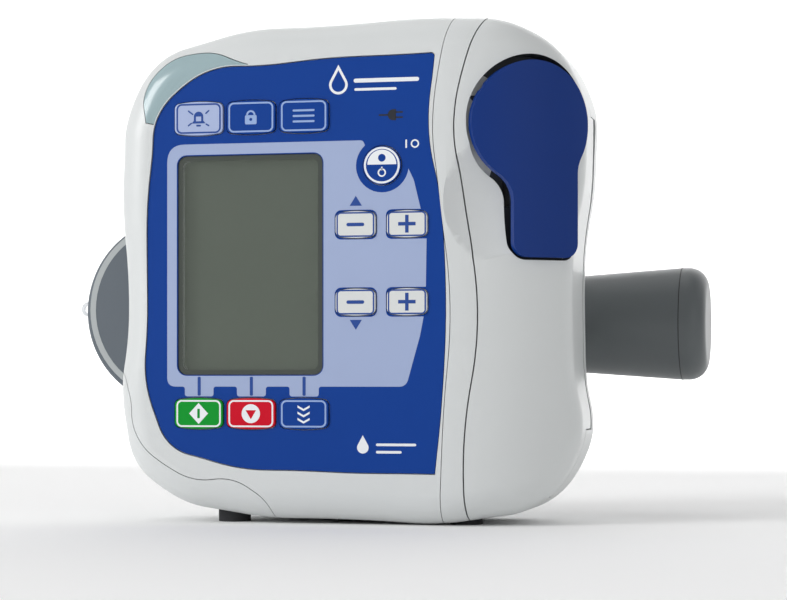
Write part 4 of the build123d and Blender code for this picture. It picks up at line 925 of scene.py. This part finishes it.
def run_tree(name: str, tree: bpy.types.NodeTree, sizes: dict[str, float]) -> bpy.types.Object:
    """Run a node tree and keep its result as a plain mesh.

    Args:
        name: Name of the object.
        tree: Tree to run.
        sizes: Value of each named input.

    Returns:
        The object with the finished mesh.
    """
    piece = stand(name, bpy.data.meshes.new(name))
    layout = piece.modifiers.new("layout", "NODES")
    layout.node_group = tree
    for socket in tree.interface.items_tree:
        if socket.in_out == "INPUT":
            layout[socket.identifier] = sizes[socket.name]
    flatten(piece)
    return piece


@dataclass
class Coils:
    """Round wire wound along an axis, made by one node tree."""

    name: str
    finish: Finish
    turns: float
    radius: float
    length: float
    wire: float
    steps: int = 24
    sides: int = 8

    def build_tree(self) -> bpy.types.NodeTree:
        """Make the node tree of the wound wire.

        Returns:
            The node group.
        """
        tree, sizes = start_tree(f"{self.name}_winding", ("Turns", "Radius", "Length", "Wire"))
        nodes, links = tree.nodes, tree.links
        helix = nodes.new("GeometryNodeCurveSpiral")
        helix.inputs["Resolution"].default_value = self.steps
        for size, socket in (
            ("Turns", "Rotations"), ("Radius", "Start Radius"),
            ("Radius", "End Radius"), ("Length", "Height"),
        ):
            links.new(sizes.outputs[size], helix.inputs[socket])
        section = nodes.new("GeometryNodeCurvePrimitiveCircle")
        section.inputs["Resolution"].default_value = self.sides
        links.new(sizes.outputs["Wire"], section.inputs["Radius"])
        sweep = nodes.new("GeometryNodeCurveToMesh")
        sweep.inputs["Fill Caps"].default_value = True
        links.new(helix.outputs["Curve"], sweep.inputs["Curve"])
        links.new(section.outputs["Curve"], sweep.inputs["Profile Curve"])
        end_tree(tree, sweep.outputs["Mesh"], self.finish)
        return tree

    def wind(self) -> bpy.types.Mesh:
        """Wind the wire once around +Z from the origin.

        Returns:
            The plain mesh.
        """
        sizes = {"Radius": self.radius * MM, "Length": self.length * MM, "Wire": self.wire * MM}
        winding = run_tree(f"{self.name}_winding", self.build_tree(), {"Turns": self.turns, **sizes})
        mesh = winding.data
        bpy.data.objects.remove(winding)
        mesh.shade_smooth()
        return mesh

    def place(self, spots: Iterable[Matrix], body: str, slot: str, *nodes: str) -> bpy.types.Object:
        """Set copies of the winding at the spots as one piece.

        Args:
            spots: Where each winding starts and which way it runs.
            body: Body that it rides on.
            slot: Material slot of the record.
            *nodes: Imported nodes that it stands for.

        Returns:
            The placed piece.
        """
        wound = self.wind()
        work = bmesh.new()
        for spot in spots:
            copy = wound.copy()
            copy.transform(spot)
            work.from_mesh(copy)
        bmesh.ops.recalc_face_normals(work, faces=work.faces)
        mesh = bpy.data.meshes.new(self.name)
        work.to_mesh(mesh)
        work.free()
        mesh.materials.append(self.finish.build())
        mesh.shade_smooth()
        return settle(stand(self.name, mesh), body, slot, *nodes)


@dataclass
class Case(Assembly):
    """Housings, lens, battery cover, feet and screws."""

    worn: ClassVar[dict[str, Finish]] = {
        "front_housing": HOUSING, "rear_housing": HOUSING, "battery_cover": HOUSING,
        "channel_frame": HOUSING, "alarm_lens": LENS, "alarm_leds": LOOP, "case_screws": STEEL,
        "rubber_feet": RUBBER, "hinge_pins": STEEL, "charging_contacts": BRASS,
    }


@dataclass
class TubeDoor(Assembly):
    """Curved door with its lever, hook, pressing plate and springs."""

    worn: ClassVar[dict[str, Finish]] = {
        "door_shell": HOUSING, "door_inner_plate": INNER, "door_lever": LEVER, "latch_hook": STEEL,
        "lever_pin": STEEL, "pressing_plate": INNER,
    }
    spring_wire: float = 0.28
    spring_turns: float = 4.5
    curve_centre: tuple[float, float] = (28.0, 21.0)
    curve_radius: float = 45.0
    lever_turn: float = 34.0
    pocket_depth: tuple[float, float] = (0.25, 7.0)
    pocket_floor: float = 4.5
    pocket_head: Triple = (-1.8, 108.5, 18.3)
    pocket_top: float = 1.2
    pocket_handle: tuple[float, float] = (1.9, 11.0)
    pocket_foot: float = 1.0
    scoop_centre: Triple = (51.0, -57.0, 88.0)
    scoop_radius: float = 40.0
    scoop_margin: float = 0.3
    floor_facing: float = 0.5

    def shade_pocket(self, door: bpy.types.Object) -> None:
        """Paint shade on the walls and floor of the lever's pocket with a darker material.

        Args:
            door: Finished door shell.
        """
        turn = math.radians(self.lever_turn)
        outward = Vector((math.sin(turn), -math.cos(turn), 0))
        across = Vector((math.cos(turn), math.sin(turn), 0))
        foot = Vector((*self.curve_centre, 0)) + outward * self.curve_radius
        low, high = corners("door_lever")
        nearest, deepest = self.pocket_depth
        head_side, head_z, head_reach = self.pocket_head
        handle_side, handle_reach = self.pocket_handle
        # Painted shade: pocket walls and floor take this dark material to stand in for the shade inside
        # the recess.
        door.data.materials.append(SHADE.build())
        for face in door.data.polygons:
            spot = face.center / MM
            radial = Vector((spot.x - self.curve_centre[0], spot.y - self.curve_centre[1], 0))
            depth = self.curve_radius - radial.length
            side = (spot - foot).dot(across)
            reach = head_reach + (self.pocket_top if spot.z > head_z + head_reach / 2 else 0)
            in_head = math.hypot(side - head_side, spot.z - head_z) < reach
            at_handle = low.z - self.pocket_foot < spot.z < high.z
            in_handle = abs(side - handle_side) < handle_reach and at_handle
            scoop_gap = abs((spot - Vector(self.scoop_centre)).length - self.scoop_radius)
            facing = face.normal.dot(radial.normalized())
            middle = Vector((head_side, head_z)) if in_head else Vector((handle_side, spot.z))
            inward = across * (middle.x - side) + Vector((0, 0, middle.y - spot.z))
            faces_in = face.normal.dot(inward) > 0
            on_wall = abs(facing) < self.floor_facing and faces_in and nearest < depth < deepest
            on_floor = facing > self.floor_facing and self.pocket_floor < depth < deepest
            if (in_head or in_handle) and (on_wall or on_floor) and scoop_gap >= self.scoop_margin:
                face.material_index = 1

    def build(self) -> None:
        """Dress the door, paint shade into its lever pocket and wind its two springs."""
        super().build()
        self.shade_pocket(bpy.data.objects["door_shell_finished"])
        low, high = corners("plate_springs")
        width = high.x - low.x
        radius = width / 2 - self.spring_wire
        length = high.y - low.y - 2 * self.spring_wire
        middle = (low.x + high.x) / 2
        springs = Coils("press_springs", STEEL, self.spring_turns, radius, length, self.spring_wire)
        lie = Matrix.Rotation(math.radians(-90), 4, "X")
        spots = []
        for rise in (low.z + width / 2, high.z - width / 2):
            start = Vector((middle, low.y + self.spring_wire, rise)) * MM
            spots.append(Matrix.Translation(start) @ lie)
        springs.place(spots, *self.model.seat("plate_springs"), "plate_springs")


@dataclass
class Drive(Assembly):
    """Roller rotor, motor and gearbox."""

    worn: ClassVar[dict[str, Finish]] = {
        "rotor": ACETAL, "roller_axles": STEEL, "rotor_shaft": STEEL, "gearbox_shaft": STEEL,
        "shaft_coupling": BRASS, "rotor_bushes": BRASS, "roller_1": ACETAL, "roller_2": ACETAL,
        "roller_3": ACETAL, "gearbox": DARK, "pump_motor": STEEL, "motor_bracket": STEEL,
        "tube_sensors": DARK,
    }


@dataclass
class BoardParts:
    """Small chips in rows on the back of the main board, set by one node tree."""

    model: Model
    columns: int = 5
    rows: int = 6
    pitch: float = 7.5
    chip: Triple = (3.4, 0.8, 2.2)
    chip_rise: float = 0.3
    least_scale: float = 0.45
    seed: int = 7

    def build_tree(self) -> bpy.types.NodeTree:
        """Make the node tree that sets the chips.

        Returns:
            The node group.
        """
        tree, sizes = start_tree("board_parts_layout", ("Width", "Height", "Least Scale"))
        nodes, links = tree.nodes, tree.links
        grid = nodes.new("GeometryNodeMeshGrid")
        grid.inputs["Vertices X"].default_value = self.columns
        grid.inputs["Vertices Y"].default_value = self.rows
        links.new(sizes.outputs["Width"], grid.inputs["Size X"])
        links.new(sizes.outputs["Height"], grid.inputs["Size Y"])
        chip = nodes.new("GeometryNodeMeshCube")
        width, depth, height = self.chip
        chip.inputs["Size"].default_value = (width * MM, height * MM, depth * MM)
        scale = nodes.new("FunctionNodeRandomValue")
        scale.data_type = "FLOAT"
        scale.inputs["Seed"].default_value = self.seed
        least = next(socket for socket in scale.inputs if (socket.name, socket.type) == ("Min", "VALUE"))
        links.new(sizes.outputs["Least Scale"], least)
        random_value = next(socket for socket in scale.outputs if socket.type == "VALUE")
        spread = nodes.new("GeometryNodeInstanceOnPoints")
        links.new(grid.outputs["Mesh"], spread.inputs["Points"])
        links.new(chip.outputs["Mesh"], spread.inputs["Instance"])
        links.new(random_value, spread.inputs["Scale"])
        end_tree(tree, spread.outputs["Instances"], DARK)
        return tree

    def build(self) -> None:
        """Set the chips on the board's back face."""
        piece = run_tree("board_parts", self.build_tree(), {
            "Width": (self.columns - 1) * self.pitch * MM,
            "Height": (self.rows - 1) * self.pitch * MM,
            "Least Scale": self.least_scale,
        })
        low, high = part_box("main_board")
        lie = Matrix.Rotation(math.radians(-90), 4, "X")
        rise = self.chip[1] * MM * self.chip_rise
        centre = Vector(((low.x + high.x) / 2, high.y + rise, (low.z + high.z) / 2))
        piece.data.transform(Matrix.Translation(centre) @ lie)
        settle(piece, self.model.body("main_board"), self.model.slots["key_switches"])


@dataclass
class Inside(Assembly):
    """Board with its chips, switches, battery and loudspeaker."""

    worn: ClassVar[dict[str, Finish]] = {
        "main_board": BOARD, "key_switches": DARK, "battery_pack": WRAP, "loudspeaker": DARK,
    }

    def build(self) -> None:
        """Dress the inner pieces."""
        super().build()
        BoardParts(self.model).build()


@dataclass
class Holder(Assembly):
    """Rear holder plate with its release lever and buffers."""

    worn: ClassVar[dict[str, Finish]] = {
        "holder_body": HOLDER, "release_pin": STEEL, "holder_buffers": RUBBER, "docking_studs": STEEL,
        "release_lever": RELEASE, "tether_loop": LOOP,
    }
    reach: float = 19.0
    rim_width: float = 1.7
    rim_edge: float = 1.2
    rim_end: float = 3.5
    rim_rise: float = 0.5
    rim_margin: float = 0.6

    def build(self) -> None:
        """Dress the holder and paint a pale highlight band along the release lever's rounded outer edge.
        """
        super().build()
        low, high = corners("release_lever")
        middle = (low.z + high.z) / 2 + self.rim_rise
        half, out = (high.z - low.z) / 2 + self.rim_margin, self.reach
        radius = (half**2 + out**2) / (2 * out)
        spread = math.degrees(math.asin((half - self.rim_end) / radius))
        # Painted highlight along the lever's rounded outer edge.
        rim = Print("release_rim", RELEASE_HIGHLIGHT, low.y, *self.model.seat("release_lever"))
        inset = self.rim_edge + self.rim_width / 2
        start, end = 180 - spread, 180 + spread
        rim.add(band(low.x + radius, middle, radius - inset, self.rim_width, start, end))
        rim.build()


@dataclass
class PoleClamp(Assembly):
    """Clamp body, pad, screw with a wound thread, knob and cap."""

    worn: ClassVar[dict[str, Finish]] = {
        "clamp_body": CLAMP, "clamp_pad": RUBBER, "clamp_screw": STEEL, "clamp_knob": KNOB,
        "knob_cap": KNOB,
    }
    pitch: float = 3.0
    thread_wire: float = 0.7
    thread_start: float = 4.0
    thread_sunk: float = 0.75
    seam_wire: float = 0.16
    seam_sunk: float = 0.3
    seam_steps: int = 96

    def build(self) -> None:
        """Dress the clamp, and wind the screw's thread and the knob's dark seam."""
        super().build()
        low, high = corners("clamp_screw")
        knob_low, _ = corners("clamp_knob")
        radius = (high.z - low.z) / 2 - self.thread_wire * self.thread_sunk
        first, last = low.x + self.thread_start, knob_low.x - self.thread_wire
        length = last - first
        thread = Coils("screw_thread", STEEL, length / self.pitch, radius, length, self.thread_wire)
        start = Vector((first, (low.y + high.y) / 2, (low.z + high.z) / 2)) * MM
        lie = Matrix.Rotation(math.radians(90), 4, "Y")
        thread.place([Matrix.Translation(start) @ lie], "knob", self.model.slots["clamp_screw"])
        low, high = corners("knob_cap")
        radius = (high.z - low.z) / 2 - self.seam_wire * self.seam_sunk
        seam = Coils("knob_seam", DARK, 1.0, radius, 0.0, self.seam_wire, self.seam_steps)
        start = Vector((low.x, (low.y + high.y) / 2, (low.z + high.z) / 2)) * MM
        seam.place([Matrix.Translation(start) @ lie], "knob", self.model.slots["knob_cap"])


@dataclass(frozen=True)
class Lamp:
    """One soft square light, in metres and watts."""

    name: str
    spot: Triple
    size: float
    power: float
    target: Triple = (0, 0, 0.07)

    def hang(self) -> None:
        """Hang the light and aim it at its target."""
        lamp = bpy.data.lights.new(self.name, "AREA")
        lamp.size = self.size
        lamp.energy = self.power
        hung = stand(self.name, lamp)
        hung.location = self.spot
        aim = Vector(self.target) - Vector(self.spot)
        hung.rotation_euler = aim.to_track_quat("-Z", "Y").to_euler()


@dataclass
class Studio:
    """Pale floor, soft lights and the camera, in metres."""

    yaw: float = 13.0
    eye: Triple = (0.1455, -0.6304, 0.0395)
    lens: float = 105.2
    sensor: float = 36
    nearest: float = 0.02
    shift: tuple[float, float] = (0.0426, 0.1017)
    world_strength: float = 0.5
    floor_side: float = 4.0
    floor_front: float = -3.0
    bend_start: float = 1.2
    bend_radius: float = 0.8
    bend_step: float = 10.0
    wall_top: float = 3.5
    lamps: tuple[Lamp, ...] = (
        Lamp("key_light", (-1.6, -1.2, 0.8), 0.9, 21),
        Lamp("fill_light", (1.3, -1.3, 0.5), 1.2, 1.5),
        Lamp("top_light", (-0.2, 0.3, 1.7), 1.2, 3),
        Lamp("back_light", (0.0, 0.9, 1.2), 2.0, 30, (0.0, 2.4, 0.5)),
    )

    def build(self) -> None:
        """Set the floor, lights, world and camera."""
        self.lay_floor()
        for lamp in self.lamps:
            lamp.hang()
        world = bpy.data.worlds.new("studio_world")
        bpy.context.scene.world = world
        world.use_nodes = True
        ground = world.node_tree.nodes["Background"]
        ground.inputs["Color"].default_value = (1, 1, 1, 1)
        ground.inputs["Strength"].default_value = self.world_strength
        bpy.context.scene.view_settings.view_transform = "Standard"
        camera = stand("studio_camera", bpy.data.cameras.new("studio_camera"))
        camera.location = self.eye
        camera.rotation_euler = (math.radians(90), 0, math.radians(self.yaw))
        camera.data.lens = self.lens
        camera.data.sensor_width = self.sensor
        camera.data.shift_x, camera.data.shift_y = self.shift
        camera.data.clip_start = self.nearest
        camera.data.dof.use_dof = False
        bpy.context.scene.camera = camera

    def lay_floor(self) -> None:
        """Lay a pale floor that curves up behind."""
        start, radius = self.bend_start, self.bend_radius
        profile = [(self.floor_front, 0.0), (start, 0.0)]
        for step in range(1, round(90 / self.bend_step) + 1):
            turn = math.radians(self.bend_step * step)
            profile.append((start + radius * math.sin(turn), radius - radius * math.cos(turn)))
        profile.append((start + radius, self.wall_top))
        work = bmesh.new()
        sides = (-self.floor_side, self.floor_side)
        rows = [[work.verts.new((side, y, z)) for y, z in profile] for side in sides]
        for left, right, left_next, right_next in zip(rows[0], rows[1], rows[0][1:], rows[1][1:]):
            work.faces.new((left, right, right_next, left_next))
        mesh = bpy.data.meshes.new("studio_floor")
        work.to_mesh(mesh)
        work.free()
        mesh.shade_smooth()
        mesh.materials.append(FLOOR.build())
        stand("studio_floor", mesh)


def main() -> None:
    """Build every sub-assembly in order."""
    logging.basicConfig(level=logging.INFO, format="%(message)s")
    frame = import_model()
    slots = {row["node"]: row["material_slot"] for row in frame["record"]["subparts"]}
    model = Model(dict(frame["nodes"]), slots)
    dressed = (Case, ControlPanel, TubeDoor, Drive, Inside, Holder, PoleClamp)
    for part in (*(assembly(model) for assembly in dressed), Studio()):
        part.build()
        LOG.info("%s done", type(part).__name__)


if __name__ == "__main__":
    main()
